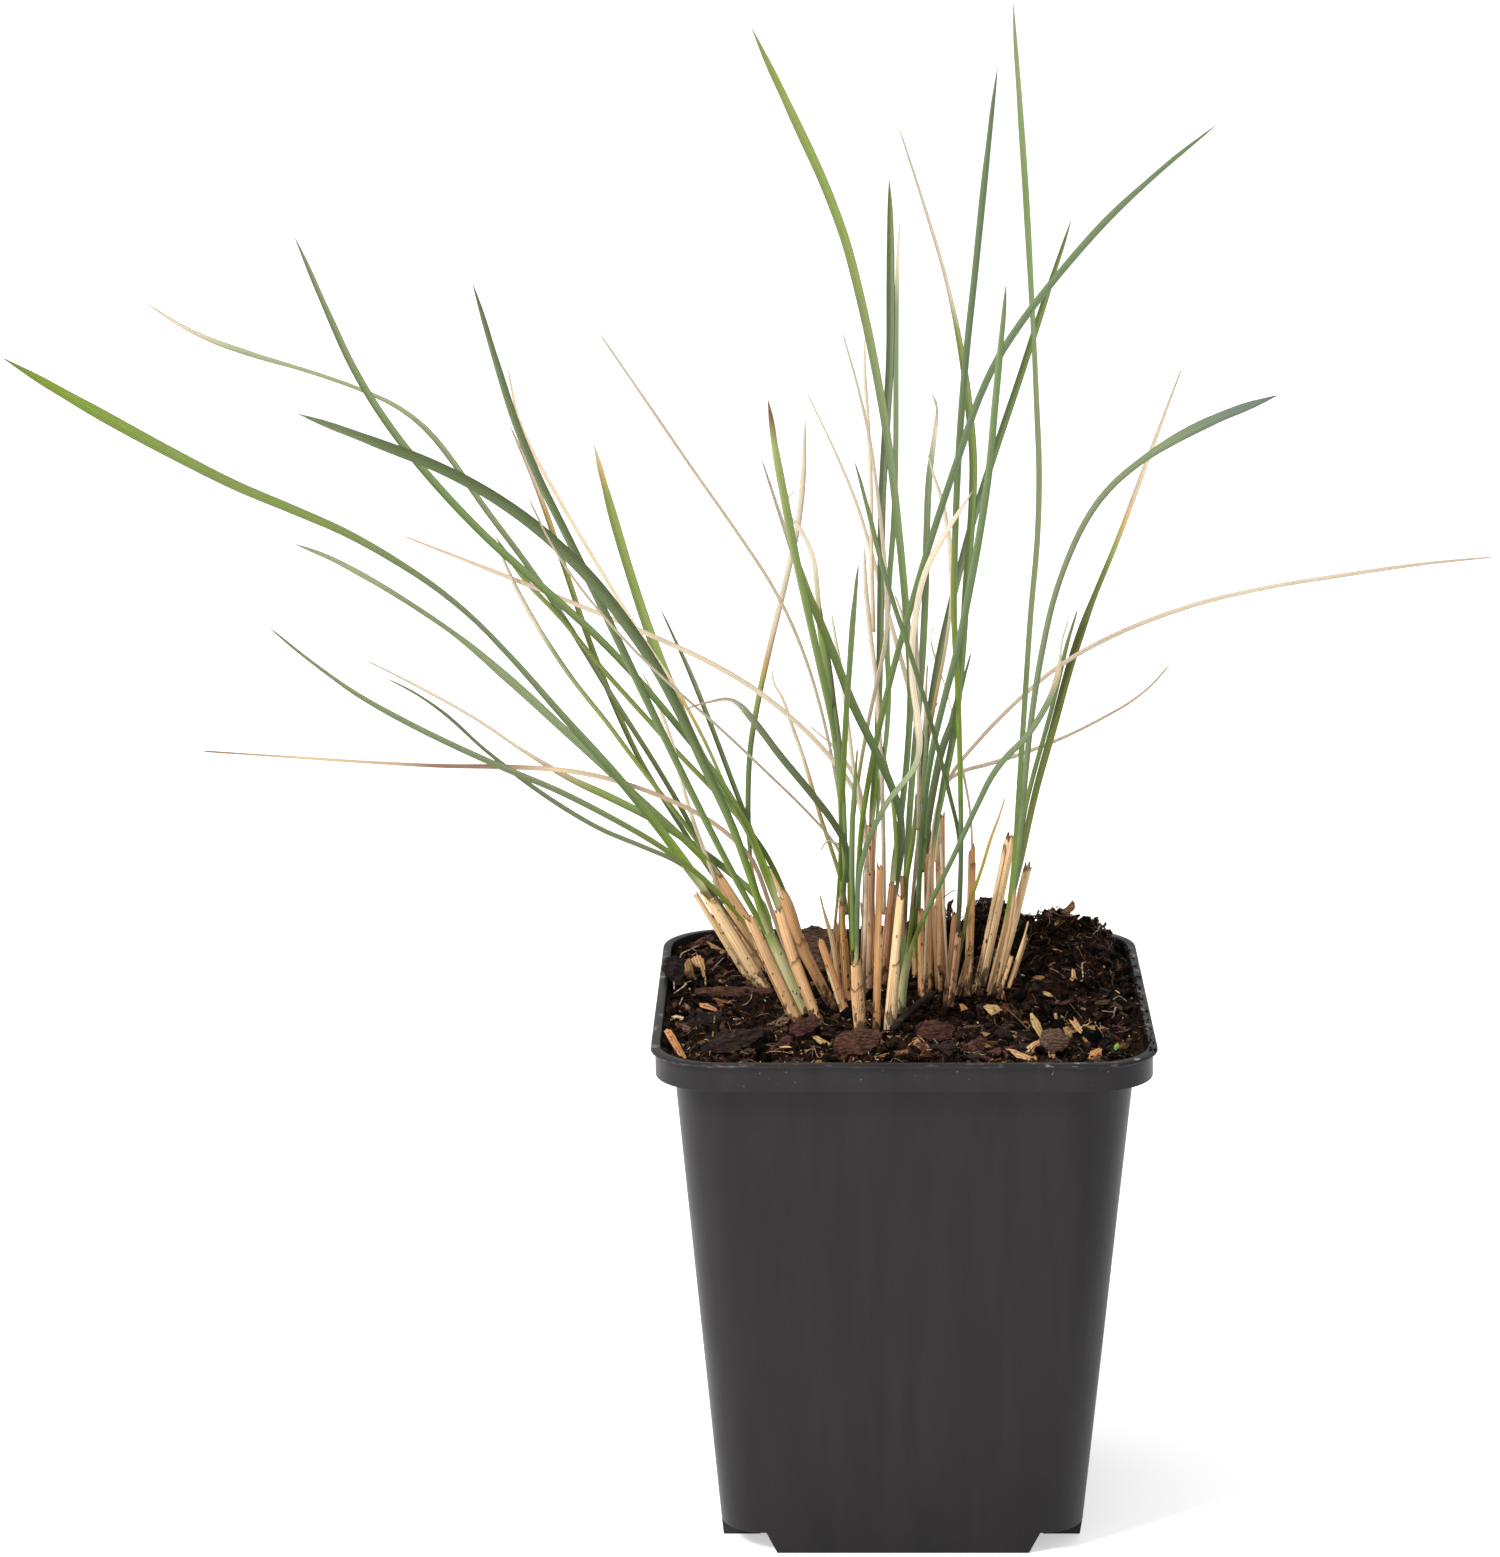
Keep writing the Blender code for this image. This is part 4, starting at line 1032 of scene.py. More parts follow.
# %% Outlines of bark
DRAWN_BARK = (
    # tone, tilt, thickness, height of the middle, outline, solid that it stands for
    ("bark_black", 0.6, 1.2, 0.5, ((-40.8, 90), (-39.9, 91.5), (-36.7, 93.4), (-34.9, 92.6), (-35.2, 91),
        (-36.4, 89.7), (-39.9, 89.6)), None),
    ("bark_pink", 0.5, 0.5, 0.2, ((-40.8, 93.7), (-40.1, 95.2), (-37.9, 94), (-39.3, 93.1)), None),
    ("bark_orange", 0.4, 0.6, 0.3, ((-35.1, 96.4), (-33.2, 95.8), (-31.4, 95.6), (-31.2, 94.6),
        (-33.6, 94.4)), None),
    ("bark_red", 0.6, 0.5, 0.2, ((-33.7, 91.1), (-32.8, 91.5), (-32.1, 90.1), (-33.2, 89.6)), None),
    ("bark_dark", 0.5, 1.4, 0.5, ((-38.9, 85.6), (-36.4, 87.5), (-33.2, 89.8), (-30, 90.3), (-25.9, 90),
        (-25.7, 88.8), (-28.6, 87), (-31, 85.7), (-35, 85.6)), None),
    ("bark_brown", 0.5, 0.6, 0.3, ((-30.9, 84.7), (-29.6, 85.9), (-27.2, 86.6), (-26.9, 85.7),
        (-27.6, 84.7)), None),
    ("bark_pink", 0.5, 0.7, 0.3, ((-24.8, 91), (-22, 92.7), (-20.5, 92.2), (-21.5, 91), (-23.4, 90.7)),
        None),
    ("bark_dark", 0.6, 0.7, 0.3, ((-25.1, 90.9), (-23.6, 91), (-22.4, 89.6), (-23, 88.6), (-24.8, 89.7)),
        None),
    ("bark_red", 0.6, 1.0, 0.4, ((-25.2, 85.9), (-22.8, 87.7), (-21.1, 89.1), (-20.1, 88.1), (-20.7, 86.7),
        (-24.6, 85.6)), None),
    ("bark_red", 0.45, 2.6, 0.3, ((-20.2, 90.3), (-19.6, 91.4), (-16.4, 93.2), (-15, 92.3), (-14.9, 90.8),
        (-17, 89.7), (-19.4, 88.7)), "bark_chip_red"),
    ("bark_brown", 0.7, 2.0, 0.5, ((-12.8, 87), (-12.2, 88.8), (-10.3, 89.9), (-6.5, 90.2), (-4.2, 90.1),
        (-3.8, 88.8), (-4.6, 86.9), (-6.9, 85.3), (-11, 85.4)), "bark_chip_brown"),
    ("husk_brown", 0.5, 0.5, 0.2, ((-13.8, 92.1), (-12.4, 92.9), (-11.4, 92.8), (-12, 91.6)), None),
    ("bark_grey", 0.95, 2.5, 0.8, ((-18.9, 104.5), (-18.6, 109), (-16.8, 109.9), (-14.9, 109.7),
        (-12.3, 108.6), (-11.4, 106), (-12, 102), (-15, 101)), None),
    ("bark_brown", 0.8, 1.0, 0.4, ((-39, 105.4), (-38.7, 106.8), (-35.2, 108.3), (-34.4, 107.3),
        (-36, 106.2)), None),
    ("bark_brown", 0.35, 1.5, 0.6, ((-38.4, 96.7), (-38.2, 98), (-34, 98.2), (-30, 98.2), (-22.3, 97.9),
        (-22.2, 96.9), (-30, 96.6), (-34, 96.4)), "stick_left"),
    ("bark_red", 0.6, 1.8, 0.9, ((4.4, 91.8), (6.5, 91.9), (9.4, 89.9), (9.3, 88.4), (7.2, 87.8),
        (4.9, 88.2), (2.6, 89.3)), None),
    ("bark_dark", 0.6, 1.4, 0.7, ((7.4, 87.6), (9.6, 88.2), (10.3, 86.6), (9, 84.9), (7.2, 86.2)), None),
    ("bark_red", 0.6, 1.4, 0.8, ((11.4, 86.2), (12.6, 87.9), (14.6, 88.8), (15.8, 88.2), (15.2, 86.4),
        (12.8, 85.6)), None),
    ("bark_grey", 0.65, 2.0, 1.2, ((25.5, 88.4), (26, 89.7), (27.4, 90.4), (29.1, 90.3), (30.7, 89),
        (31.1, 87.4), (29.9, 86), (27.8, 85.4), (26, 86.1)), None),
    ("husk_brown", 0.9, 0.6, 0.2, ((29.2, 112.4), (30.2, 113.7), (31.3, 114.7), (31.7, 113.2),
        (30.5, 111.5)), None),
    ("bark_brown", 0.9, 0.6, 0.2, ((35.4, 108.6), (36.4, 109.8), (37.3, 110.6), (37, 109.4), (36.2, 108)),
        None),
    ("bark_dark", 0.8, 1.0, 0.3, ((13.7, 114), (14.2, 115.4), (17, 115.2), (18.4, 114), (17.5, 113)), None),
    ("bark_brown", 0.95, 0.5, 0.2, ((7.9, 111.9), (8.4, 114.4), (9.4, 115), (9.2, 112.6), (8.5, 111.2)),
        None),
    ("bark_black", 0.9, 0.8, 0.3, ((-44.2, 101.6), (-43.8, 103.6), (-42, 104.2), (-40.4, 103.6),
        (-40.2, 100.6), (-41.6, 98.2), (-42.8, 99.4)), None),
)
print(len(DRAWN_BARK), "pieces of bark")

# %% Outlines of husks
DRAWN_HUSKS = (
    # tone, tilt, outline
    ("husk_gold", 0.8, ((-40.1, 102.6), (-39.6, 103.6), (-39.1, 103.7), (-38.3, 101.1), (-37.8, 99.2),
        (-39.1, 98.8), (-40, 100.5))),
    ("husk", 0.8, ((-38.9, 103.4), (-38.3, 104.1), (-37.2, 104.3), (-36.5, 103.6), (-36.3, 101.8),
        (-36.2, 98.8), (-36.8, 100.3), (-37.2, 101.8), (-38.1, 102.2))),
    ("husk_gold", 0.5, ((-36, 107), (-34.7, 106.4), (-31.5, 104.6), (-31.9, 103.8), (-34.8, 105.2))),
    ("husk_orange", 0.5, ((-37.4, 95.1), (-35.8, 95.1), (-34.3, 94.2), (-33.9, 93.4), (-35.8, 94),
        (-37.2, 94.4))),
    ("husk_pale", 0.6, ((-42.6, 92.6), (-41.6, 92.9), (-40.2, 92.5), (-40.4, 91.9), (-42.3, 92))),
    ("husk_gold", 0.6, ((-42.2, 91.7), (-41.2, 91.9), (-41.4, 90.4), (-42.1, 90.6))),
    ("husk_orange", 0.6, ((-43.9, 89.8), (-43.4, 90.2), (-42.6, 90), (-41.6, 88.4), (-40.6, 86.5),
        (-39.6, 84.6), (-40.6, 84.5), (-42, 86.1), (-43, 88.1))),
    ("husk_yellow", 0.6, ((-16.7, 88.9), (-15.5, 88.9), (-13, 87.4), (-12.6, 86.6), (-13.8, 86.4),
        (-15.6, 87.7))),
    ("husk_orange", 0.4, ((-18.8, 86.1), (-16.8, 86.3), (-14.4, 85.4), (-14.9, 84.6), (-17.2, 84.7))),
    ("husk_gold", 0.5, ((-2.8, 88.9), (-0.6, 88.9), (1.2, 87.3), (1.5, 86.1), (0.2, 86.7), (-1.5, 87.9))),
    ("husk_brown", 0.4, ((-5.4, 84.8), (-2.5, 85.7), (1.2, 86.3), (1.3, 85.6), (-1.8, 84.8))),
    ("husk_yellow", 0.5, ((15, 94.4), (15.8, 94.9), (17.6, 94.8), (18.6, 93.9), (17.6, 93.2),
        (16.6, 92.7))),
    ("husk_yellow", 0.7, ((23.7, 93.2), (24.2, 93.2), (25.6, 91.3), (26.4, 89.2), (25.6, 88.6),
        (24.4, 90.3), (23.8, 91.6))),
    ("bark_orange", 0.8, ((21.7, 93.5), (22.4, 94.8), (23.1, 95.2), (22.6, 93.9), (22.2, 93.3))),
    ("husk", 0.8, ((28, 93.2), (28.6, 93.3), (29.1, 91.6), (28.4, 91.4))),
    ("husk_pale", 0.7, ((29.4, 92.9), (30, 92.4), (30.2, 91.7), (29.5, 91.7))),
    ("husk", 0.7, ((30.9, 92), (31.8, 91.7), (34.1, 89.3), (34.8, 87.7), (34.2, 87.3), (32.8, 89.1),
        (31.5, 91))),
    ("husk", 0.7, ((31.7, 92.6), (32.2, 92.1), (33.3, 90.4), (32.8, 90.1), (31.9, 91.4))),
    ("husk_gold", 0.6, ((29.8, 90.5), (30.7, 90.7), (33.4, 89.1), (33.4, 87.5), (31.5, 87.9),
        (30.3, 89.1))),
    ("husk_gold", 0.3, ((33.3, 90.9), (36.5, 91), (37.9, 90.3), (35.5, 90))),
    ("husk_brown", 0.3, ((34.4, 89.8), (37.4, 89.4), (36.6, 88.8), (34.9, 89))),
    ("husk", 0.6, ((22.3, 86), (23.9, 87.4), (25.5, 88.2), (25.6, 86.7), (23.9, 85.1))),
    ("husk_gold", 0.6, ((11.3, 90.1), (12.2, 90.1), (13.6, 88.7), (13.2, 87.9), (12, 88.5))),
    ("husk_gold", 0.4, ((17.8, 89.5), (20.5, 89.8), (22.9, 89.3), (22.5, 88.7), (19.5, 88.8))),
    ("bark_orange", 0.6, ((17.6, 86.7), (18.1, 88.2), (19.3, 88.6), (19.6, 87), (18.6, 86.1))),
    ("husk_brown", 0.4, ((16.2, 86), (18, 86.3), (19.8, 85.4), (19.4, 84.4), (16.8, 84.6))),
    ("husk", 0.4, ((19.2, 86.5), (21.2, 86.1), (24.3, 84.8), (24.2, 84), (21.4, 84.7))),
    ("husk_orange", 0.4, ((24.2, 84.8), (25.6, 85.5), (28.5, 85.3), (28.2, 84.3), (25, 84.1))),
    ("husk_orange", 0.8, ((34.4, 84.4), (35, 85.9), (36.6, 86.6), (37.1, 86.3), (36.9, 84.2), (35.4, 84))),
    ("husk", 0.9, ((31, 99.5), (31.4, 101.8), (31.9, 101.3), (32.4, 99.4), (31.7, 99.1))),
    ("husk_orange", 0.5, ((10.6, 95), (11.6, 95), (12.2, 94), (11, 93.6))),
    ("husk_orange", 0.6, ((13.1, 99), (14.2, 100), (14.9, 99.7), (13.9, 98.8))),
    ("husk_pale", 0.7, ((13.6, 97.7), (15.3, 97.1), (14.9, 96.1), (14, 96.5))),
    ("husk", 0.8, ((12.3, 97), (13.1, 98.8), (13.8, 98.6), (13.1, 96.8))),
    ("husk_orange", 0.8, ((17.6, 97.9), (18.4, 98.3), (19, 97.1), (18.7, 95.8), (17.9, 96.5))),
)
print(len(DRAWN_HUSKS), "husks")


# %% Fill an outline
def on_plane(x, z, place, normal):
    """Where the line of sight through a drawn point meets a plane."""
    way = Vector((x, 0, z)) * MM - EYE
    return EYE + way * ((place - EYE).dot(normal) / way.dot(normal))


def drawn_piece(name, outline, tilt, thickness, dome, colour, rough):
    """A thin closed piece that fills an outline in the front view."""
    low = min(outline, key=lambda point: point[1])
    touch = seen(*low)
    toward = (EYE - touch).normalized()
    normal = (Vector((0, 0, 1 - tilt)) + toward * tilt).normalized()
    touch = touch + normal * thickness * 0.4
    corners = [on_plane(x, z, touch, normal) for x, z in outline]
    bpy.ops.mesh.primitive_circle_add(vertices=len(outline), radius=1, fill_type="NGON")
    obj = added(name)
    move_points(obj.data, corners)
    if obj.data.polygons[0].normal.dot(toward) < 0:
        with Editing(obj):
            bpy.ops.mesh.flip_normals()
    with Editing(obj):
        bpy.ops.mesh.poke(offset=dome)
        bpy.ops.mesh.subdivide(number_cuts=4, fractal=0.0, smoothness=0.0)
    points = []
    for vertex in obj.data.vertices:
        bump = noise.noise(vertex.co / (1.3 * MM)) + 0.5 * noise.noise(vertex.co / (0.5 * MM))
        edge = Vector((noise.noise(vertex.co / (0.9 * MM)), 0, noise.noise(vertex.co / (0.8 * MM)))) * 0.8
        points.append(vertex.co + (normal * bump + edge) * rough)
    move_points(obj.data, points)
    modify(obj, "SOLIDIFY", thickness=thickness, offset=-1)
    smooth(obj, 24)
    away = points_of(obj.data) - np.array(touch)
    _, _, axes = np.linalg.svd(away - away.mean(axis=0), full_matrices=False)
    mark(obj, "across", away @ axes[1] / MM)
    patchy = [[1 + 0.25 * noise.noise(vertex.co / (2 * MM))] for vertex in obj.data.vertices]
    paint(obj, np.array(colour) * np.array(patchy))
    return obj


print("the soil at the front is seen at", seen(0, 86).to_tuple(3))

# %% Lay the drawn bark and husks
BARK_ROUGH = 0.4 * MM
HUSK_ROUGH = 0.12 * MM
HUSK_THICKNESS = 0.3 * MM
HUSK_DOME = 0.35 * MM
others = []
for tone, tilt, thickness, dome, outline, node in DRAWN_BARK:
    name = f"{node}_piece" if node else "bark"
    piece = drawn_piece(name, outline, tilt, thickness * MM, dome * MM, TONES[tone], BARK_ROUGH)
    if node:
        hand_over(piece, bark.material, "bark", node)
    else:
        others.append(piece)
hand_over(joined(others, "drawn_bark"), bark.material, "bark")
husks = [
    drawn_piece("husk", outline, tilt, HUSK_THICKNESS, HUSK_DOME, TONES[tone], HUSK_ROUGH)
    for tone, tilt, outline in DRAWN_HUSKS
]
hand_over(joined(husks, "drawn_husks"), husk.material, "bark")
print(len(others), "loose pieces of bark and", len(husks), "husks laid")

# %% A seedling
SEEDLING = (
    ((39.2, 86.3), (39.4, 87.1), (40.1, 87.5), (40.3, 86.8), (39.8, 86.1)),
    ((38.3, 85.5), (38.8, 86.1), (39.7, 86.1), (39.4, 85.2)),
)
SEED_TILT = 0.85
SEED_THICKNESS = 0.25 * MM
SEED_DOME = 0.2 * MM
SEED_ROUGH = 0.02 * MM
seed_leaves = [
    drawn_piece("seed_leaf", outline, SEED_TILT, SEED_THICKNESS, SEED_DOME, TONES["seedling"], SEED_ROUGH)
    for outline in SEEDLING
]
seedling = joined(seed_leaves, "seedling")
print(len(seed_leaves), "seed leaves")

# %% [markdown]
# ## Strands
# Blades, straws, roots and twigs are long thin shapes that follow a line. Each master is modelled once as a
# straight unit strand, and one function moves a copy's vertices: across the unit strand becomes across the
# leaf, along it becomes along the line. A Curve modifier can't be told which way a folded blade faces at
# each point.

# %% Read the line of a solid leaf
class Line:
    """Rows of middle, edge and rise vectors from foot to tip. Edge is half the width, rise the fold."""

    def __init__(self, middle, edge, rise):
        self.middle = np.array(middle)
        self.edge = np.array(edge)
        self.rise = np.array(rise)

    def rows(self):
        return np.concatenate((self.middle, self.edge, self.rise), axis=1)

    def part(self, first, last):
        """The rings from one number to another, counted as in a slice."""
        return Line(self.middle[first:last], self.edge[first:last], self.rise[first:last])


def neighbours(obj):
    """The points of a solid with doubles merged, and the points that each is joined to."""
    points, names = np.unique(points_of(obj.data).round(6), axis=0, return_inverse=True)
    names = names.ravel()
    joins = [set() for _ in points]
    for face in obj.data.polygons:
        corners = [int(names[corner]) for corner in face.vertices]
        for corner in corners:
            joins[corner].update(corners)
    return points, joins


def steps_from(start, joins):
    """How many edges away from the start each point is."""
    steps = {start: 0}
    front = [start]
    while front:
        reached = []
        for point in front:
            for other in joins[point]:
                if other not in steps:
                    steps[other] = steps[point] + 1
                    reached.append(other)
        front = reached
    return steps


def widest_pair(ring):
    gaps = np.linalg.norm(ring[:, None] - ring[None], axis=2)
    return np.unravel_index(gaps.argmax(), gaps.shape)


def solid_line(node):
    """The line of a solid leaf or shoot, from its root to its tip, and how many rings are round straw."""
    points, joins = neighbours(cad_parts[node])
    lowest = int(points[:, 2].argmin())
    from_root = steps_from(lowest, joins)
    tip = max(from_root, key=from_root.get)
    from_tip = steps_from(tip, joins)
    rings = [[] for _ in range(max(from_tip.values()) + 1)]
    for point, step in from_tip.items():
        rings[step].append(points[point])
    sides = len(rings[1])
    whole = [np.array(ring) for ring in rings[1:] if len(ring) == sides]
    middle, edge, rise, straws = [points[tip]], [np.zeros(3)], [np.zeros(3)], 0
    for ring in whole:
        a, b = widest_pair(ring)
        rest = np.delete(ring, (a, b), axis=0)
        between_edges = (ring[a] + ring[b]) / 2
        keel = rest.mean(axis=0) if sides == 4 else 2 * rest.mean(axis=0) - between_edges
        half = (ring[a] - ring[b]) / 2
        depth = np.linalg.norm(rest - rest.mean(axis=0), axis=1).max()
        is_round = sides == 6 and depth > 0.8 * np.linalg.norm(half)
        straws += is_round
        if np.dot(half, edge[-1]) < 0:
            half = -half
        middle.append(ring.mean(axis=0) if is_round else keel)
        edge.append(half)
        rise.append(np.zeros(3) if is_round else between_edges - keel)
    flip = slice(None, None, -1)
    return Line(middle[flip], edge[flip], rise[flip]), straws


line, straws = solid_line("shoot_01")
print("shoot_01 has", len(line.middle), "rings, of which", straws, "are straw")


# %% Smooth a line and lay a strand along it
def distances(places):
    """How far along a row of places each one is."""
    gaps = np.linalg.norm(np.diff(places, axis=0), axis=1)
    return np.concatenate(([0.0], np.cumsum(gaps)))


def smoothed(rows, count):
    """Rows at even distances along a smooth curve through the given rows, whose first three are places."""
    along = distances(rows[:, :3])
    slope = np.gradient(rows, along, axis=0)
    spots = np.linspace(0, along[-1], count)
    first = np.clip(np.searchsorted(along, spots, side="right") - 1, 0, len(along) - 2)
    gap = np.diff(along)[first][:, None]
    t = (spots - along[first])[:, None] / gap
    return (
        (2 * t**3 - 3 * t**2 + 1) * rows[first]
        + (t**3 - 2 * t**2 + t) * gap * slope[first]
        + (3 * t**2 - 2 * t**3) * rows[first + 1]
        + (t**3 - t**2) * gap * slope[first + 1]
    )


def unit(rows):
    return rows / np.maximum(np.linalg.norm(rows, axis=1), 1e-12)[:, None]


EVEN = ((0, 1), (1, 1))
CURVE_ROWS = 240
THICK_SHARE = 1.6
LEAST_DEPTH = 0.02 * MM
KEEL_ROUND = 0.02


def lay(master, name, line, thickness, fold=1.0, widths=EVEN, tip_half=0.0, plump=1.0):
    """A copy of a unit strand laid along a line.

    Thickness is given at the foot and above it, widths are shares of the line's own at shares of the length,
    and plump widens the last part before the tip, which is never narrower than tip_half.
    """
    obj = copied(master, name)
    points = points_of(obj.data)
    levels, ring_of = np.unique(points[:, 1].round(6), return_inverse=True)
    ring_of = ring_of.ravel()
    rows = smoothed(line.rows(), CURVE_ROWS)
    spots = np.linspace(0, 1, CURVE_ROWS)
    rows = np.stack([np.interp(levels, spots, column) for column in rows.T], axis=1)
    wide = np.interp(levels, *zip(*widths)) * np.interp(levels, (0.92, 0.98), (1.0, plump))
    wide = wide[:, None]
    middle, edge, rise = rows[:, :3], rows[:, 3:6] * wide, rows[:, 6:9] * wide
    forward = unit(np.gradient(middle, axis=0))
    side = unit(edge)
    least = tip_half * np.clip((1 - levels) * 50, 0, 1)
    edge = side * np.maximum(np.linalg.norm(edge, axis=1), least)[:, None]
    face = np.cross(side, forward)
    face *= np.sign((face * rise).sum(axis=1).mean() or 1.0)
    deep = np.interp(levels, (0.0, 0.25, 1.0), (thickness[0], thickness[1], thickness[1]))
    deep = np.minimum(deep, THICK_SHARE * np.linalg.norm(edge, axis=1) + LEAST_DEPTH)
    across = points[:, 0:1]
    folded = np.sqrt(across**2 + KEEL_ROUND) * fold
    moved = middle[ring_of] + across * edge[ring_of] + folded * rise[ring_of]
    moved += points[:, 2:3] * deep[ring_of][:, None] * face[ring_of]
    move_points(obj.data, moved)
    return obj


def share_along(master):
    """How far along the unit strand each vertex is."""
    return points_of(master.data)[:, 1].clip(0, 1)


def stops_of(words):
    """Stops of share and tone, from words such as "0 fresh, 0.3 green"."""
    pairs = [stop.split() for stop in words.split(", ")]
    return [(float(share), tone) for share, tone in pairs]


def toned(stops, shares):
    """Colours at shares of a length, from stops of share and tone."""
    at = [share for share, _ in stops]
    colours = np.array([TONES[tone] for _, tone in stops])
    return np.stack([np.interp(shares, at, channel) for channel in colours.T], axis=1)


print("shoot_01 is", round(distances(line.middle)[-1] / MM), "mm long")

# %% [markdown]
# ### The unit blade
# A grass blade is folded along its midrib and less than half a millimetre thick. The unit blade is a
# flattened ring of twelve points, extruded along Y and merged to a point at the far end. Its UV map says how
# far across and how far along each point is, and the veins follow that map.

# %% Model the unit strands
UPRIGHT = (math.pi / 2, 0, 0)


def corners_of(obj):
    """The place of each corner of each face."""
    return points_of(obj.data)[[loop.vertex_index for loop in obj.data.loops]]


def write_uv(obj, across, along):
    """Writes a UV map from two numbers for each corner of each face."""
    uv = obj.data.uv_layers.active or obj.data.uv_layers.new(name="UVMap")
    uv.data.foreach_set("uv", np.stack((across, along), axis=1).ravel())


def unit_strand(name, sides, steps):
    """A pointed strand of half width 1 from y = 0 to y = 1, with a UV map of across and along."""
    bpy.ops.mesh.primitive_circle_add(vertices=sides, radius=1, fill_type="NGON", rotation=UPRIGHT)
    obj = added(name)
    settle(obj)
    with Editing(obj):
        for _ in range(steps):
            extrude(y=1 / steps)
        bpy.ops.mesh.merge(type="CENTER")
        pick_all()
        resize(1, 1, 0.5)
        face_outwards()
    smooth(obj)
    corners = corners_of(obj)
    write_uv(obj, corners[:, 0] * 0.5 + 0.5, corners[:, 1])
    return obj


blade_master = unit_strand("blade", 12, 56)
fibre_master = unit_strand("fibre", 6, 14)
hair_master = unit_strand("hair", 3, 6)
print("a blade has", len(blade_master.data.polygons), "faces")

# %% [markdown]
# ### Leaf colour
# The tint painted along each blade carries its own greens, its yellow foot or its dry tip. The material adds
# what all of them share: fine pale veins that run lengthwise, a lighter midrib that is partly a painted
# highlight along the fold, a thin edge line, slow changes of tone, and, on dry tissue, dark specks.

# %% Leaf materials
VEIN_DEPTH = 0.06 * MM


def leaf_look(name, roughness, vein_count, speck_amount, edge_tone, edge_amount):
    """A leaf with lengthwise veins on its own UV map."""
    look = Look(name, shine=0.22)
    uv = look.node("TexCoord", output="UV")
    across = look.node("SeparateXYZ", inputs={0: uv}, output="X")
    veins = ((across * (vein_count * 2 * math.pi)).sine() * 0.5 + 0.5).over(0.15, 0.85)
    from_middle = (across - 0.5).maths("ABSOLUTE", across - 0.5)
    # a lighter midrib: the blade's paler midrib together with a painted highlight along its fold
    midrib_and_highlight = (0.5 - from_middle).over(0.42, 0.5)
    edge_line = from_middle.over(0.42, 0.5)
    lengthwise = look.noise(0.07, 4, look.stretched(uv, 16.0, 1.0, 1.0))
    slow = look.noise(6 * MM, 3)
    amount = 0.72 + veins * 0.24 + midrib_and_highlight * 0.14 + lengthwise.over(0.3, 0.7) * 0.4 + slow * 0.16
    colour = look.shade(look.tinted(), amount)
    colour = look.mix(edge_line * edge_amount, colour, TONES[edge_tone])
    specks = look.noise(0.45 * MM, 3).over(0.66, 0.72) * speck_amount
    colour = look.mix(specks, colour, TONES["brown"])
    return look.surface(colour, roughness + veins * 0.08, veins + lengthwise * 0.8, VEIN_DEPTH)


green_leaf = leaf_look("green_leaf", 0.42, 6, 0.0, "slate_green", 0.35)
dry_leaf = leaf_look("dry_leaf", 0.6, 3, 0.6, "brown", 0.3)
hand_over(seedling, green_leaf, "green_leaf")
print("green leaf and dry leaf")

# %% [markdown]
# ### Laying the blades
# Each row of the tables names a solid and the tones along its blade, as shares of its length from foot to
# tip. A blade that grows out of a cut straw starts just inside the straw.

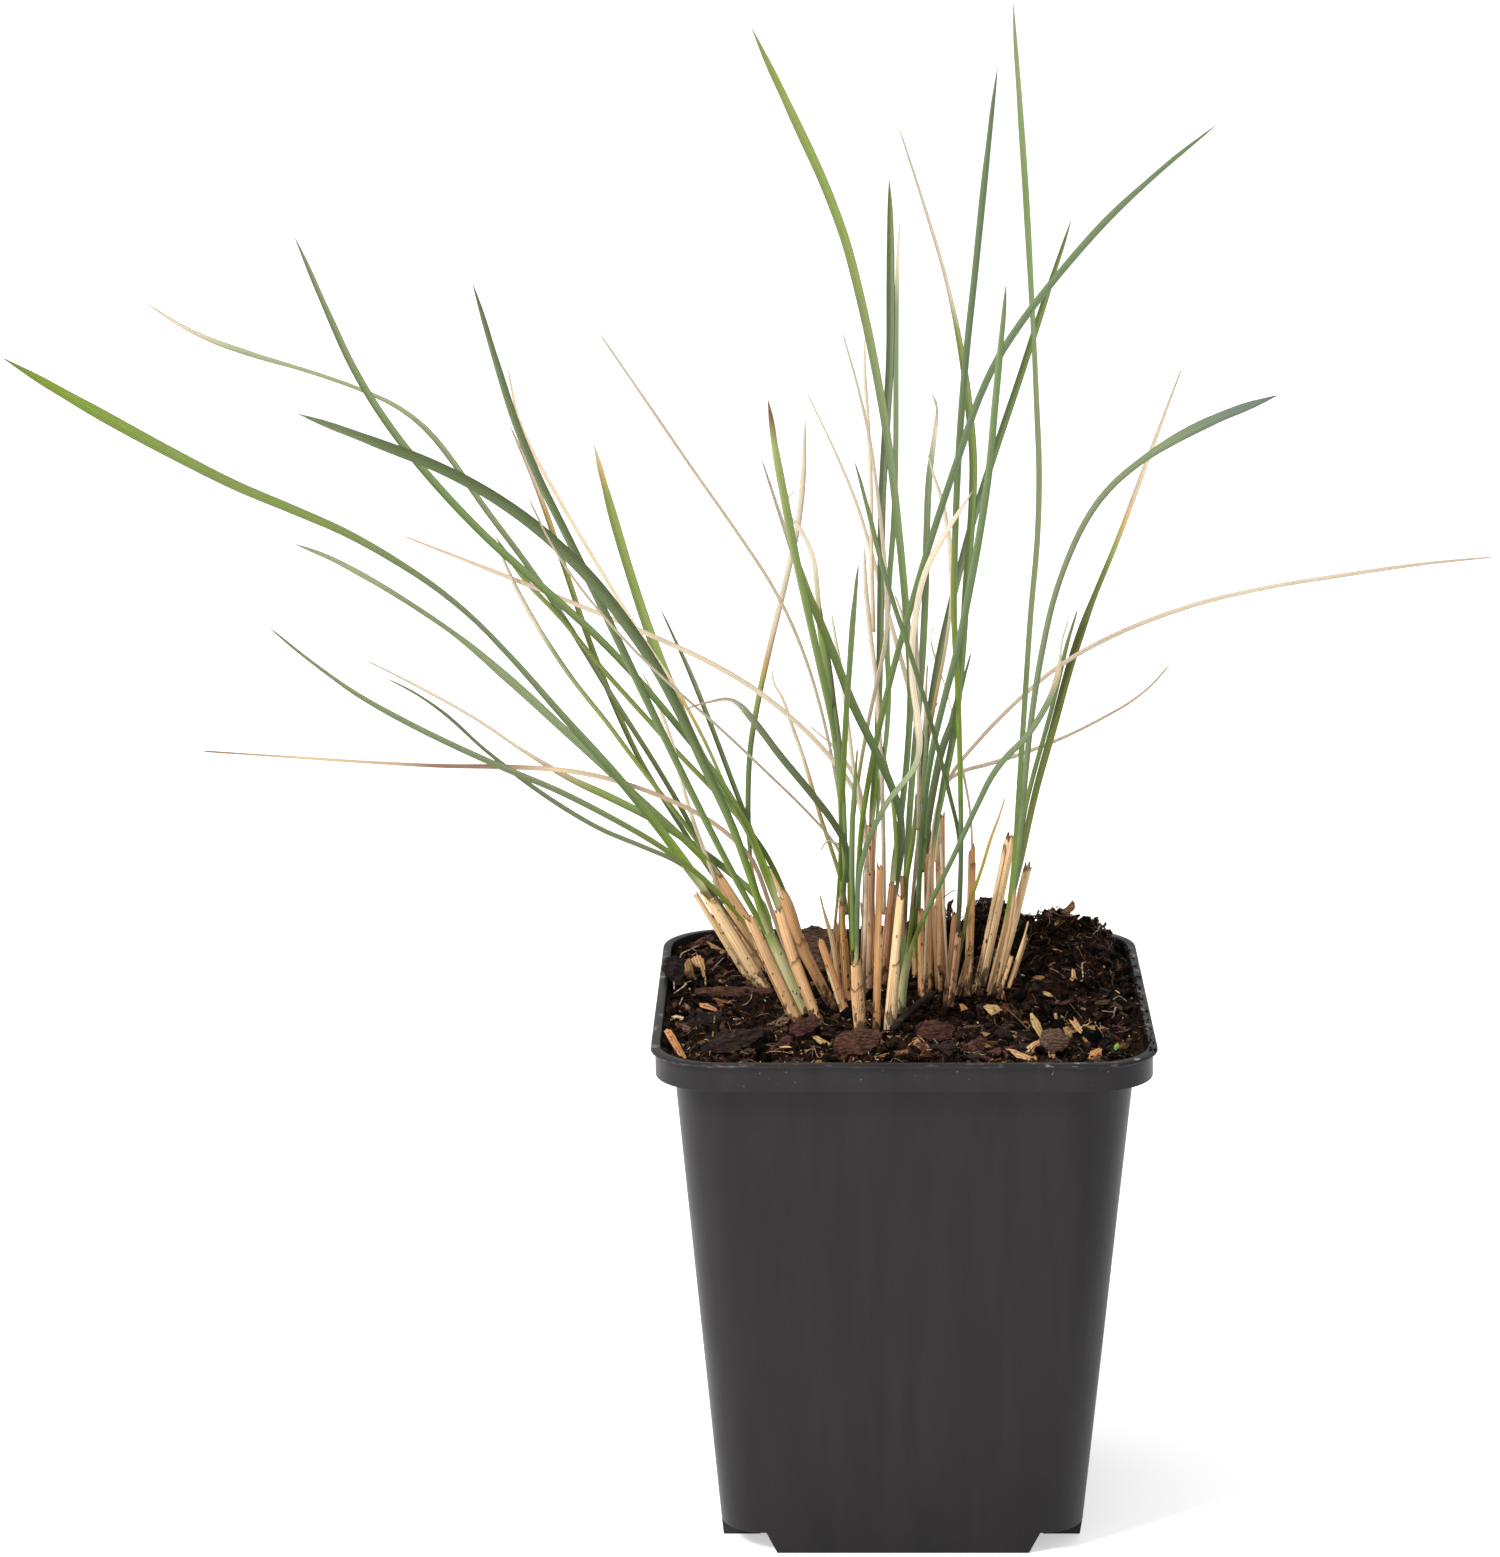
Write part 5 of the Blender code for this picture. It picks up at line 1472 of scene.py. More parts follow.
# %% Tones along each blade
GREEN_TONES = {
    "shoot_01": "0 fresh, 0.1 green, 0.3 grey_green, 0.45 grey_green, 0.6 leaf, 0.78 leaf, 0.95 fresh, "
        "0.985 leaf, 1 brown",
    "shoot_02": "0 green, 0.3 soft_green, 0.7 pale_green, 0.86 pale_green, 0.94 straw",
    "shoot_03": "0 fresh, 0.2 soft_green, 0.75 soft_green, 0.85 pale_green",
    "shoot_04": "0 fresh, 0.15 green, 0.3 deep_green, 0.85 deep_green, 1 soft_green",
    "shoot_05": "0 fresh, 0.15 green, 0.6 green, 1 soft_green",
    "shoot_06": "0 leaf, 0.27 yellow_green, 0.34 orange, 0.42 straw, 1 tan",
    "shoot_07": "0 green, 0.25 deep_green, 0.68 grey_green, 0.76 pale_green, 0.82 straw, 1 tan_pink",
    "shoot_08": "0 blue_green, 0.25 blue_green, 0.38 pale_green, 0.47 straw",
    "shoot_09": "0 fresh, 0.08 green, 0.4 grey_green, 0.8 grey_green, 1 leaf",
    "shoot_10": "0 deep_green, 0.25 green, 0.5 grey_green, 0.75 leaf",
    "shoot_11": "0 deep_green, 0.45 grey_green, 0.7 green, 1 leaf",
    "shoot_12": "0 tan, 0.5 straw",
    "shoot_13": "0 purple, 0.05 blue_green, 0.13 blue_green, 0.18 fresh, 0.34 fresh, 0.5 green, "
        "0.7 blue_green",
    "shoot_14": "0 fresh, 0.12 green, 0.35 blue_green, 0.74 grey_green, 0.84 tan, 0.88 straw",
    "leaf_01": "0 fresh, 0.2 leaf, 0.35 soft_green",
    "leaf_02": "0 green, 0.25 soft_green, 0.9 soft_green, 1 pale_green",
    "leaf_04": "0 fresh, 0.3 green, 0.5 leaf, 0.58 dull_tan, 0.66 straw",
    "leaf_05": "0 fresh, 0.3 green, 0.6 deep_green",
    "leaf_06": "0 green, 0.4 leaf, 0.72 yellow_green, 0.8 orange, 0.88 straw, 1 tan",
    "leaf_07": "0 fresh, 0.3 leaf, 0.88 leaf, 0.95 orange, 1 straw",
    "leaf_08": "0 green, 0.5 green, 0.7 soft_green",
    "leaf_12": "0 green, 0.25 green, 0.36 yellow_green, 0.42 orange, 0.5 straw",
    "leaf_13": "0 green, 0.4 deep_green, 0.85 grey_green, 0.94 straw",
    "leaf_14": "0 green, 0.4 green, 0.64 leaf, 0.7 yellow_green, 0.75 straw",
    "leaf_15": "0 fresh, 0.15 green, 0.5 grey_green, 0.8 green, 1 soft_green",
    "leaf_16": "0 fresh, 0.15 fresh, 0.35 green, 0.6 blue_green",
    "leaf_17": "0 fresh, 0.15 green, 0.4 blue_green, 1 green",
    "leaf_19": "0 fresh, 0.3 green, 0.75 leaf, 0.9 yellow_green, 0.96 brown",
    "leaf_21": "0 green, 0.4 deep_green, 1 green",
    "leaf_22": "0 fresh, 0.3 fresh, 0.6 green",
    "leaf_23": "0 green, 0.5 deep_green, 0.85 grey_green, 0.94 straw",
    "leaf_24": "0 blue_green, 0.35 green, 0.64 leaf, 0.74 yellow_green, 0.8 straw",
    "leaf_25": "0 green, 0.15 olive, 0.5 dark_olive, 0.6 olive, 0.65 yellow_green, 0.69 orange, "
        "0.75 tan_pink, 0.85 straw",
    "leaf_26": "0 green, 0.3 grey_green, 0.8 grey_green, 0.92 slate_green",
}
DRY_TONES = {
    "leaf_03": "0 dull_tan, 0.4 dull_tan, 0.5 tan, 0.57 bark_pink, 0.66 bark_pink, 0.72 dull_tan, "
        "0.85 tan, 1 brown",
    "leaf_09": "0 tan, 0.4 straw, 1 tan_pink",
    "leaf_10": "0 straw, 0.8 straw, 1 tan_pink",
    "leaf_11": "0 yellow, 0.2 straw",
    "leaf_18": "0 yellow_green, 0.25 yellow, 0.4 straw",
    "leaf_20": "0 tan, 0.3 straw",
    "leaf_27": "0 tan, 0.3 tan_pink, 0.7 straw, 1 tan_pink",
    "leaf_28": "0 tan, 0.5 straw, 1 tan",
}
print(len(GREEN_TONES), "green blades and", len(DRY_TONES), "dry ones")

# %% Where leaves turn green, and how wide they are
EMERGES = {
    # the height in the front view, in millimetres, below which a leaf is dry and narrow like a straw
    "leaf_01": 111, "leaf_02": 111, "leaf_06": 121, "leaf_07": 114.5, "leaf_08": 116, "leaf_12": 122,
    "leaf_13": 131, "leaf_14": 126, "leaf_15": 112, "leaf_16": 105, "leaf_19": 116, "leaf_21": 111,
    "leaf_22": 115, "leaf_24": 118, "leaf_25": 117, "leaf_26": 117,
}
NARROW = 0.6
# the height in the front view at which the straw of a shoot is cut, where its rings don't show it
CUT_AT = {"shoot_12": 126.0}
WIDTHS = {
    # shares along the blade, and the width there against the solid's
    "shoot_01": ((0, 1.25), (0.12, 1.3), (0.3, 0.8), (0.4, 0.58), (0.5, 0.65), (0.62, 0.85), (0.75, 1.05),
        (0.9, 1.35), (1, 1.2)),
    "shoot_02": ((0, 1.1), (0.6, 0.95), (0.7, 0.6), (0.8, 0.62), (0.9, 1.1), (1, 0.9)),
    "shoot_03": ((0, 1.2), (0.55, 1.2), (0.68, 0.65), (0.84, 0.7), (0.93, 0.95), (1, 0.95)),
    "shoot_07": ((0, 1.15), (0.76, 1.1), (0.84, 0.55), (1, 0.5)),
    "shoot_09": ((0, 1.1), (0.85, 1.2), (0.92, 1.6), (1, 1.3)),
    "shoot_14": ((0, 0.85), (0.84, 0.85), (0.9, 0.35), (1, 0.3)),
    "leaf_01": ((0, 1.05), (0.7, 0.95), (0.84, 0.62), (1, 0.7)),
    "leaf_02": ((0, 1.15), (0.6, 1), (0.7, 0.75), (1, 0.75)),
    "leaf_04": ((0, 1.1), (0.5, 1.1), (0.6, 0.7), (0.68, 0.5), (1, 0.6)),
    "leaf_08": ((0, 1.2), (1, 1.2)),
    "leaf_14": ((0, 1), (0.6, 1), (0.75, 0.55), (1, 0.5)),
    "leaf_15": ((0, 1.25), (0.5, 1.1), (0.62, 0.9), (0.75, 1.2), (1, 1.2)),
    "leaf_19": ((0, 1), (0.6, 1.1), (0.85, 1.35), (1, 1.35)),
    "leaf_24": ((0, 1), (0.7, 1), (0.82, 0.6), (1, 0.7)),
    "leaf_25": ((0, 0.8), (0.45, 0.85), (0.52, 0.58), (1, 0.6)),
    "leaf_26": ((0, 0.9), (0.35, 0.85), (0.5, 0.68), (0.75, 0.6), (0.87, 0.97), (1, 1.05)),
    "leaf_03": ((0, 1.5), (0.4, 1.1), (0.6, 1.2), (0.75, 0.9), (1, 0.8)),
    "leaf_09": ((0, 1.5), (1, 1.7)),
    "leaf_11": ((0, 0.9), (1, 1)),
}


def drawn(places):
    """Where places are seen on the plane through the middle of the pot."""
    share = -EYE.y / (places[:, 1] - EYE.y)
    return np.stack((EYE.x + (places[:, 0] - EYE.x) * share, EYE.z + (places[:, 2] - EYE.z) * share), axis=1)


def share_at(line, height):
    """How far along a line it is seen to reach a height in millimetres."""
    along = distances(line.middle)
    return float(np.interp(height * MM, drawn(line.middle)[:, 1], along / along[-1]))


print(len(EMERGES), "leaves start like straw, and", len(WIDTHS), "have widths of their own")

# %% Lay a blade along each solid
GREEN_THICKNESS = (0.32 * MM, 0.15 * MM)
DRY_THICKNESS = (0.34 * MM, 0.24 * MM)
SLIM = (0.66, 1.0)
FOLD = 1.4
TIP_HALF = 0.19 * MM
TIP_PLUMP = 1.9
TURN_FROM_VIEW = 0.5
TURNED = ("leaf_12",)
PALE_START = 0.05
INSIDE_STRAW = 2.5 * MM
ROOT_SHARE = 0.7
shoot_lines = {}
strand_places = []


def lay_blade(name, line, stops, thickness, widths=EVEN):
    """A folded blade along a line, with tones at shares of its length."""
    obj = lay(blade_master, name, line, thickness, FOLD, widths, TIP_HALF, TIP_PLUMP)
    paint(obj, toned(stops, share_along(blade_master)))
    return obj


def turned_to_view(line):
    """The same line with its flat side turned most of the way to the front view."""
    forward = unit(np.gradient(line.middle, axis=0))
    flat = unit(np.cross(forward, line.middle - np.array(EYE)))
    side = unit(flat + np.cross(forward, flat) * TURN_FROM_VIEW)
    wide = np.linalg.norm(line.edge, axis=1)[:, None]
    tall = np.linalg.norm(line.rise, axis=1)[:, None]
    return Line(line.middle, side * wide, np.cross(side, forward) * tall)


for node, words in {**GREEN_TONES, **DRY_TONES}.items():
    stops = stops_of(words)
    line, straws = solid_line(node)
    strand_places.append(smoothed(line.rows(), 60)[:, :3])
    dry = node in DRY_TONES
    if node in CUT_AT:
        straws = int((drawn(line.middle)[:, 1] < CUT_AT[node] * MM).sum())
    if straws:
        shoot_lines[node] = line.part(0, straws)
        line = line.part(straws - 1, None)
        down = line.middle[0] - line.middle[1]
        line.middle[0] += down / np.linalg.norm(down) * INSIDE_STRAW
        line.edge[0] = line.edge[1] * ROOT_SHARE
        line.rise[0] = line.rise[1] * ROOT_SHARE
        if stops[0][1] not in ("purple", "tan"):
            later = [(PALE_START + (1 - PALE_START) * at, tone) for at, tone in stops]
            stops = [(0, "sheath"), (PALE_START / 2, "sheath"), *later]
    if dry or node in TURNED:
        line = turned_to_view(line)
    slim = np.interp(np.linspace(0, 1, len(line.middle)), (0.0, 0.7), SLIM)[:, None]
    line.edge *= slim
    line.rise *= slim
    widths = WIDTHS.get(node, EVEN)
    if node in EMERGES:
        bare = share_at(line, EMERGES[node])
        later = [(bare + (1 - bare) * at, tone) for at, tone in stops]
        stops = [(0, "stubble"), (bare * 0.92, "stubble"), *later]
        later = [(bare + 0.05 + (0.95 - bare) * at, wide) for at, wide in widths]
        widths = [(0, NARROW), (bare, NARROW), *later]
    blade = lay_blade(f"{node}_blade", line, stops, DRY_THICKNESS if dry else GREEN_THICKNESS, widths)
    material, slot = (dry_leaf, "dry_leaf") if dry or node == "shoot_12" else (green_leaf, "green_leaf")
    hand_over(blade, material, slot, node)
print(len(shoot_lines), "shoots")

# %% [markdown]
# ### The thinnest leaves
# Many leaves are too thin to be solids of their own. They are drawn as rows of points in the front view,
# from tip to foot, in millimetres on the plane through the middle of the pot. Each is moved along its line
# of sight to the depth of the solid strand that its foot is seen beside.

# %% Outlines of the thin leaves
GREEN_TO_FRESH = "0 fresh, 0.3 green"
DARK_GREEN = "0 green, 0.4 deep_green"
PALE_STRAW = "0 tan, 0.4 straw"
PINK_STRAW = "0 tan, 0.5 tan_pink"
STUBBLE = "0 stubble, 0.7 stubble_pale, 1 stubble"
THIN_LEAVES = {
    # name: width, lean back from foot to tip, whether it is dry, tones, points
    "left_a": (1.0, 14, False, "0 fresh, 0.3 leaf", ((-74.3, 183), (-70, 176), (-62, 167), (-55.6, 158.9),
        (-49.8, 152.2), (-45.3, 147.1), (-41.1, 142.3), (-35.9, 136.8), (-29, 129), (-25.5, 124),
        (-21, 114), (-19, 106))),
    "left_b": (0.9, 6, False, "0 leaf, 0.4 yellow_green, 0.68 pale_green, 0.76 straw", ((-74.3, 182.5),
        (-70, 172.5), (-65, 163.5), (-60.1, 156), (-54, 148), (-49.8, 142.1), (-46, 137), (-40, 129),
        (-34, 120))),
    "left_c": (0.8, 8, True, PALE_STRAW, ((-47.7, 157.7), (-45.3, 152.5), (-42.3, 144.3), (-40.2, 135.6),
        (-37.7, 127.4), (-35.7, 122), (-33, 114))),
    "middle_a": (0.8, 10, True, PALE_STRAW, ((-7.4, 219), (-7.3, 213.7), (-6.7, 204.6), (-6.2, 195),
        (-6, 180), (-5.6, 165))),
    "middle_b": (0.9, -4, True, PALE_STRAW, ((-7.3, 181.2), (-6.9, 172.8), (-6.4, 168.2), (-6, 164.2),
        (-5.5, 160.5), (-5.1, 157.3), (-4.4, 148), (-3.8, 138), (-3.4, 126), (-3.2, 112))),
    "middle_c": (0.8, 4, True, PALE_STRAW, ((4.1, 197.8), (5.2, 194), (6.7, 189.4), (8, 182), (8.6, 172))),
    "middle_d": (0.9, -2, True, PALE_STRAW, ((-1.8, 172.2), (-0.3, 168.2), (1.2, 160), (2.6, 150),
        (3.2, 138))),
    "kinked": (1.2, 6, False, "0 green, 0.35 green, 0.62 leaf, 0.8 straw", ((-19.2, 191.8), (-22.3, 188.4),
        (-19.3, 184.2), (-17, 179.3), (-16, 172.5), (-15.5, 165), (-14.8, 160.5), (-14.2, 156), (-13, 147),
        (-11.9, 138), (-11.2, 129), (-10.4, 118))),
    "middle_e": (0.7, 6, True, "0 yellow, 0.4 orange, 0.7 straw", ((7.5, 186), (8, 183.5), (8.5, 178),
        (8.5, 174), (8.2, 168), (7.3, 161.1), (6, 154), (4.8, 147), (4, 142), (2.8, 132))),
    "middle_f": (1.4, 4, False, DARK_GREEN, ((12.2, 161.2), (10.7, 155.9), (9.4, 151.2), (8.7, 148),
        (7.6, 145), (6.7, 141.8), (6.1, 138.6), (5.1, 132.4), (4.7, 129.2), (4.2, 120))),
    "middle_g": (0.8, 6, False, DARK_GREEN, ((-15.2, 170.1), (-14.2, 164), (-13.3, 157.9), (-12.5, 151.2),
        (-11.7, 145), (-11.1, 137), (-10.6, 126))),
    "middle_h": (0.8, 5, True, PALE_STRAW, ((-13.2, 168.5), (-12.6, 164.5), (-11.9, 160.2), (-10.9, 153.6),
        (-10, 146.5), (-9.2, 140.2), (-8.1, 134.3), (-7.2, 128.7), (-6.6, 120))),
    "middle_i": (0.9, -3, True, PALE_STRAW, ((2.3, 170.4), (2.4, 160.5), (2.7, 150), (2.8, 140),
        (2.6, 128))),
    "middle_j": (0.6, -3, True, PALE_STRAW, ((4.3, 159), (4, 154), (3.9, 150.5), (3.6, 142))),
    "middle_k": (1.1, -2, False, "0 fresh, 1 yellow_green", ((2.4, 135), (2.3, 131.2), (2, 127),
        (1.4, 123.2), (0.8, 119.8), (0.3, 116), (-0.2, 110))),
    "middle_l": (0.8, 4, True, "0 leaf, 0.3 yellow_green, 0.5 orange, 0.65 straw", ((-24.1, 158.5),
        (-23.6, 155.2), (-22.5, 153.3), (-20.7, 148.3), (-18.4, 141.8), (-16.7, 136.1), (-15, 130.2),
        (-13.3, 125.2), (-11.5, 119.5), (-10.9, 117.2), (-10, 112))),
    "middle_m": (0.9, 2, True, PALE_STRAW, ((-17.2, 147.6), (-15.3, 145.9), (-13.2, 144), (-11.3, 141.5),
        (-9.5, 138.9), (-8.5, 136.8), (-7.4, 131.5), (-6.6, 124))),
    "middle_n": (1.0, -4, False, GREEN_TO_FRESH, ((-8.4, 143.4), (-8.9, 137), (-9.3, 129.2), (-9.3, 121.7),
        (-9.1, 113.5), (-8.8, 105))),
    "middle_o": (0.9, 0, False, "0 fresh, 0.9 yellow_green, 0.97 brown", ((-3.8, 143.8), (-2.8, 138.6),
        (-1.9, 132.4), (-1.3, 125), (-1, 118))),
    "middle_p": (0.9, -2, False, "0 fresh, 1 leaf", ((4, 126.7), (3.4, 119.8), (3, 117.3), (2.6, 114.4),
        (2.2, 111.3), (1.4, 105.2))),
    "middle_q": (1.2, 0, False, "0 fresh, 1 fresh", ((-10.8, 134), (-10.9, 126), (-10.9, 118),
        (-10.8, 108))),
    "middle_r": (0.8, 2, False, "0 green, 1 pale_green", ((6.3, 152), (4.7, 149.6), (4, 142), (3.5, 133))),
    "right_a": (0.9, 8, False, "0 fresh, 0.35 yellow_green, 0.5 green", ((31.5, 169.4), (29.5, 162.6),
        (28.1, 156.1), (26.7, 149.9), (25.2, 144), (23.6, 137.7), (22.2, 131), (21.6, 126), (20.6, 119),
        (19.8, 112))),
    "right_b": (0.7, 0, True, PALE_STRAW, ((8.7, 144.3), (8.1, 141.8), (7.2, 137.1), (6.4, 130), (6, 122))),
    "right_c": (0.7, -3, True, "0 olive, 0.3 olive, 0.6 yellow, 0.85 orange, 1 tan", ((18.7, 134.3),
        (17.6, 130.8), (16.2, 127), (14.3, 120.4), (13.3, 117.3), (12.2, 114.1), (11.2, 108.1), (10.6, 105),
        (9.7, 98.6))),
    "left_scrap": (0.7, 0, True, PINK_STRAW, ((-15, 124.3), (-13.8, 125.9), (-12, 125.4), (-10.4, 124.2))),
    "spike_left": (1.0, 1, True, STUBBLE, ((-15.2, 115.8), (-14.3, 112), (-12.9, 107), (-11.7, 99.5),
        (-10.9, 94))),
    "spike_right": (0.8, 1, True, STUBBLE, ((23.2, 110.8), (22.4, 107.5), (21.5, 104), (19.8, 98))),
}
print(len(THIN_LEAVES), "thin leaves")

# %% Lay the thin leaves
all_places = np.concatenate(strand_places)
FOLD_RISE = 0.45
BLUNT = 9.0


def depth_near(x, z):
    """The depth of the solid strand that is seen nearest to a drawn point."""
    gaps = np.linalg.norm(drawn(all_places) - (x, z), axis=1)
    return all_places[gaps.argmin(), 1]


def lifted(x, z, depth):
    """Drawn points moved along their lines of sight to a depth."""
    share = (depth - EYE.y) / -EYE.y
    return np.stack((EYE.x + (x - EYE.x) * share, depth, EYE.z + (z - EYE.z) * share), axis=1)


def drawn_line(points, width, lean, twist):
    """A line through drawn points given from tip to foot, with the edges and fold of a thin leaf."""
    points = np.array(points[::-1]) * MM
    along = distances(points)
    share = along / along[-1]
    depth = depth_near(*points[0]) + lean * MM * share
    middle = lifted(points[:, 0], points[:, 1], depth)
    forward = unit(np.gradient(middle, axis=0))
    side = unit(np.cross(forward, middle - np.array(EYE)))
    face = np.cross(side, forward)
    turn = (twist[0] + (twist[1] - twist[0]) * share)[:, None]
    taper = np.minimum(1.0, ((along[-1] - along) / (BLUNT * width * MM)) ** 0.7)
    half = (width * MM / 2 * taper)[:, None]
    edge = (side * np.cos(turn) + face * np.sin(turn)) * half
    rise = (face * np.cos(turn) - side * np.sin(turn)) * half * FOLD_RISE
    return Line(middle, edge, rise)


twist_draw = random.Random(17)
for name, (width, lean, dry, words, points) in THIN_LEAVES.items():
    twist = (twist_draw.uniform(-0.6, 0.6), twist_draw.uniform(-0.9, 0.9))
    line = drawn_line(points, width, lean, twist)
    blade = lay_blade(f"thin_{name}", line, stops_of(words), DRY_THICKNESS if dry else GREEN_THICKNESS)
    hand_over(blade, dry_leaf if dry else green_leaf, "dry_leaf" if dry else "green_leaf")
print("the last one is", round(np.ptp(line.middle[:, 2]) / MM), "mm tall")

# %% [markdown]
# ### Roots, twigs and fibres
# White root hairs, thin twigs and a few stalks are drawn as rows of points too, and each point is dropped on
# the ground where it is seen. Hundreds of dark fibres are strewn between them. A fibre wanders over the
# ground in short steps. The dark stick is laid at the depth of its solid.

# %% Outlines of roots and twigs
DRAWN_THREADS = (
    # width, tone, points
    (0.3, "root", ((-42, 97.5), (-41.7, 101), (-40.9, 103.5), (-38.8, 105.2), (-36, 106.6))),
    (0.3, "root", ((-42, 96.7), (-40.9, 97.5), (-39.3, 98.9), (-37.5, 99.7))),
    (0.35, "husk_pale", ((-36.8, 102.4), (-36.3, 100.5), (-36.2, 98.2))),
    (0.45, "grey_wood", ((-35.1, 101.1), (-32.7, 103.5))),
    (0.35, "husk_yellow", ((-34.5, 92.3), (-34.9, 88.2), (-35.5, 84.6))),
    (0.35, "husk", ((-25.6, 85.1), (-23.8, 85.5), (-20.1, 85.1))),
    (0.25, "root", ((-3.7, 87.8), (-2.4, 86.5))),
    (0.25, "root", ((-41, 94.6), (-40.4, 96))),
    (0.5, "husk_brown", ((18.9, 94), (21.3, 91.8), (23.8, 89.2))),
    (0.55, "bark_black", ((11.8, 99.2), (13.6, 98.3), (15.6, 97.4))),
    (0.35, "husk", ((1, 90), (3.4, 88.3), (5.2, 86.1))),
    (0.35, "husk_orange", ((0, 85.2), (1.4, 86.7), (2.8, 88))),
    (0.2, "bark_pink", ((31, 94.9), (33.5, 91.8))),
    (0.25, "root", ((27.3, 101.5), (28.8, 100.8), (30.3, 99.7))),
    (0.2, "bark_pink", ((27.4, 100.6), (28.4, 99.9), (29.4, 99.6))),
    (0.25, "root", ((39, 95.6), (40.2, 96.2), (41.7, 95.1))),
    (0.25, "root", ((37, 93.4), (38.9, 93.2), (40, 94), (41, 93.5))),
    (0.25, "husk_yellow", ((38.6, 100.8), (40, 100.5))),
    (0.32, "root", ((33.8, 102.7), (33.2, 101.6), (33.4, 100.1), (33, 98.9))),
    (0.4, "bark_dark", ((7.5, 114.8), (8.6, 115.7), (9.7, 116.3))),
)
print(len(DRAWN_THREADS), "roots and twigs")

# %% Lay roots and twigs
THREAD_FORWARD = 2.2 * MM


def thread_line(middle, width):
    """A round thin line through places."""
    middle = np.array(middle)
    forward = unit(np.gradient(middle, axis=0))
    side = unit(np.cross(forward, (0.31, 0.22, 0.92)))
    return Line(middle, side * width / 2, np.zeros_like(middle))


def lay_thread(name, middle, width, colour, master=fibre_master):
    obj = lay(master, name, thread_line(middle, width), (width / 2, width / 2))
    paint(obj, colour)
    return obj


threads = []
for width, tone, points in DRAWN_THREADS:
    lift = Vector((0, 0, width * MM))
    places = [seen(x, z) + lift + (EYE - seen(x, z)).normalized() * THREAD_FORWARD for x, z in points]
    threads.append(lay_thread("thread", places, width * MM, TONES[tone]))
print(len(threads), "threads laid")

# %% Strew fibres and let hairs stand on the heap
FIBRES = 1300
HEAP_HAIRS = 170
HAIR_SPOTS = (9, 40), (29, 3.5)
FIBRE_STEPS = 6
FIBRE_WIDTHS = (0.1, 0.28)
FIBRE_TONES = (
    "peat_brown", "bark_brown", "bark_red", "peat", "bark_dark", "husk_brown", "husk_gold", "bark_pink",
    "root",
)
draw = random.Random(53)
for number in range(FIBRES + HEAP_HAIRS):
    on_heap = number >= FIBRES
    if on_heap:
        x = draw.uniform(*HAIR_SPOTS[0]) * MM
        y = draw.gauss(*HAIR_SPOTS[1]) * MM
    else:
        x, y = random_spot(draw, 3 * MM, 0.2)
    heading = draw.uniform(0, 2 * math.pi)
    step = draw.uniform(0.3, 0.9) * MM
    lift = draw.uniform(0.0, 0.6) * MM
    rise = draw.uniform(0.0, 0.45) * MM if on_heap else draw.gauss(0, 0.08) * MM
    places = []
    for number_along in range(FIBRE_STEPS):
        place, up = dropped(x, y)
        places.append(place + up * (lift + draw.uniform(0, 0.5) * MM + max(0, rise) * number_along))
        heading += draw.gauss(0, 0.5)
        x += math.cos(heading) * step
        y += math.sin(heading) * step
        x = min(max(x, -SOIL_HALF), SOIL_HALF)
        y = min(max(y, -SOIL_HALF), SOIL_HALF)
    width = draw.uniform(*FIBRE_WIDTHS) * MM
    threads.append(lay_thread("fibre", places, width, shade_of(FIBRE_TONES, draw), hair_master))
hand_over(joined(threads, "roots_and_fibres"), bark.material, "bark")
print(len(threads), "threads with the fibres")

# %% Lay the dark stick
STICK_WIDTH = 1.4 * MM
STICK = (
    # across and up in the front view, and depth, in millimetres
    (-1.7, 90.2, -16.2), (0.9, 93.0, -10.1), (3.8, 95.6, -4.0), (6.4, 97.5, 2.0),
)
across, up, depth = np.array(STICK).T * MM
ground_depth = [seen(x, z).y for x, z, _ in STICK]
places = lifted(across, up, np.minimum(depth, ground_depth) - THREAD_FORWARD)
stick = lay_thread("dark_stick", places, STICK_WIDTH, TONES["bark_black"])
hand_over(stick, bark.material, "bark", "stick_dark")
print("the stick lies from", places[0].round(3), "to", places[-1].round(3))

# %% [markdown]
# ## Cut straws
# Each straw is a hollow, ribbed tube with a ragged top. Old leaf sheaths still wrap many of them, split down
# one side. The unit straw is a tube with a wall, made by extruding a circle up, in over the rim and down
# inside. The unit sheath is an open strip of the same circle, given a wall by Solidify.

# %% Model the unit straw and sheath
STRAW_SIDES = 20
SHEATH_STEPS = 14
PITH = 0.9
BORE = 0.74
SLIT = -0.45
STRAW_LEVELS = (0.08, 0.16, 0.24, 0.33, 0.42, 0.51, 0.6, 0.69, 0.78, 0.86, 0.91, 0.94, 0.965, 0.985, 1.0)


def straw_master():
    """A hollow tube of radius 1 from y = 0 to y = 1, with a bore down to y = PITH."""
    bpy.ops.mesh.primitive_circle_add(vertices=STRAW_SIDES, radius=1, fill_type="NGON", rotation=UPRIGHT)
    obj = added("straw")
    settle(obj)
    with Editing(obj):
        reached = 0
        for level in STRAW_LEVELS:
            extrude(y=level - reached)
            reached = level
        extrude()
        resize(BORE, 1, BORE, about=(0, 1, 0))
        for _ in range(2):
            extrude(y=(PITH - 1) / 2)
        face_outwards()
    smooth(obj, 50)
    return obj


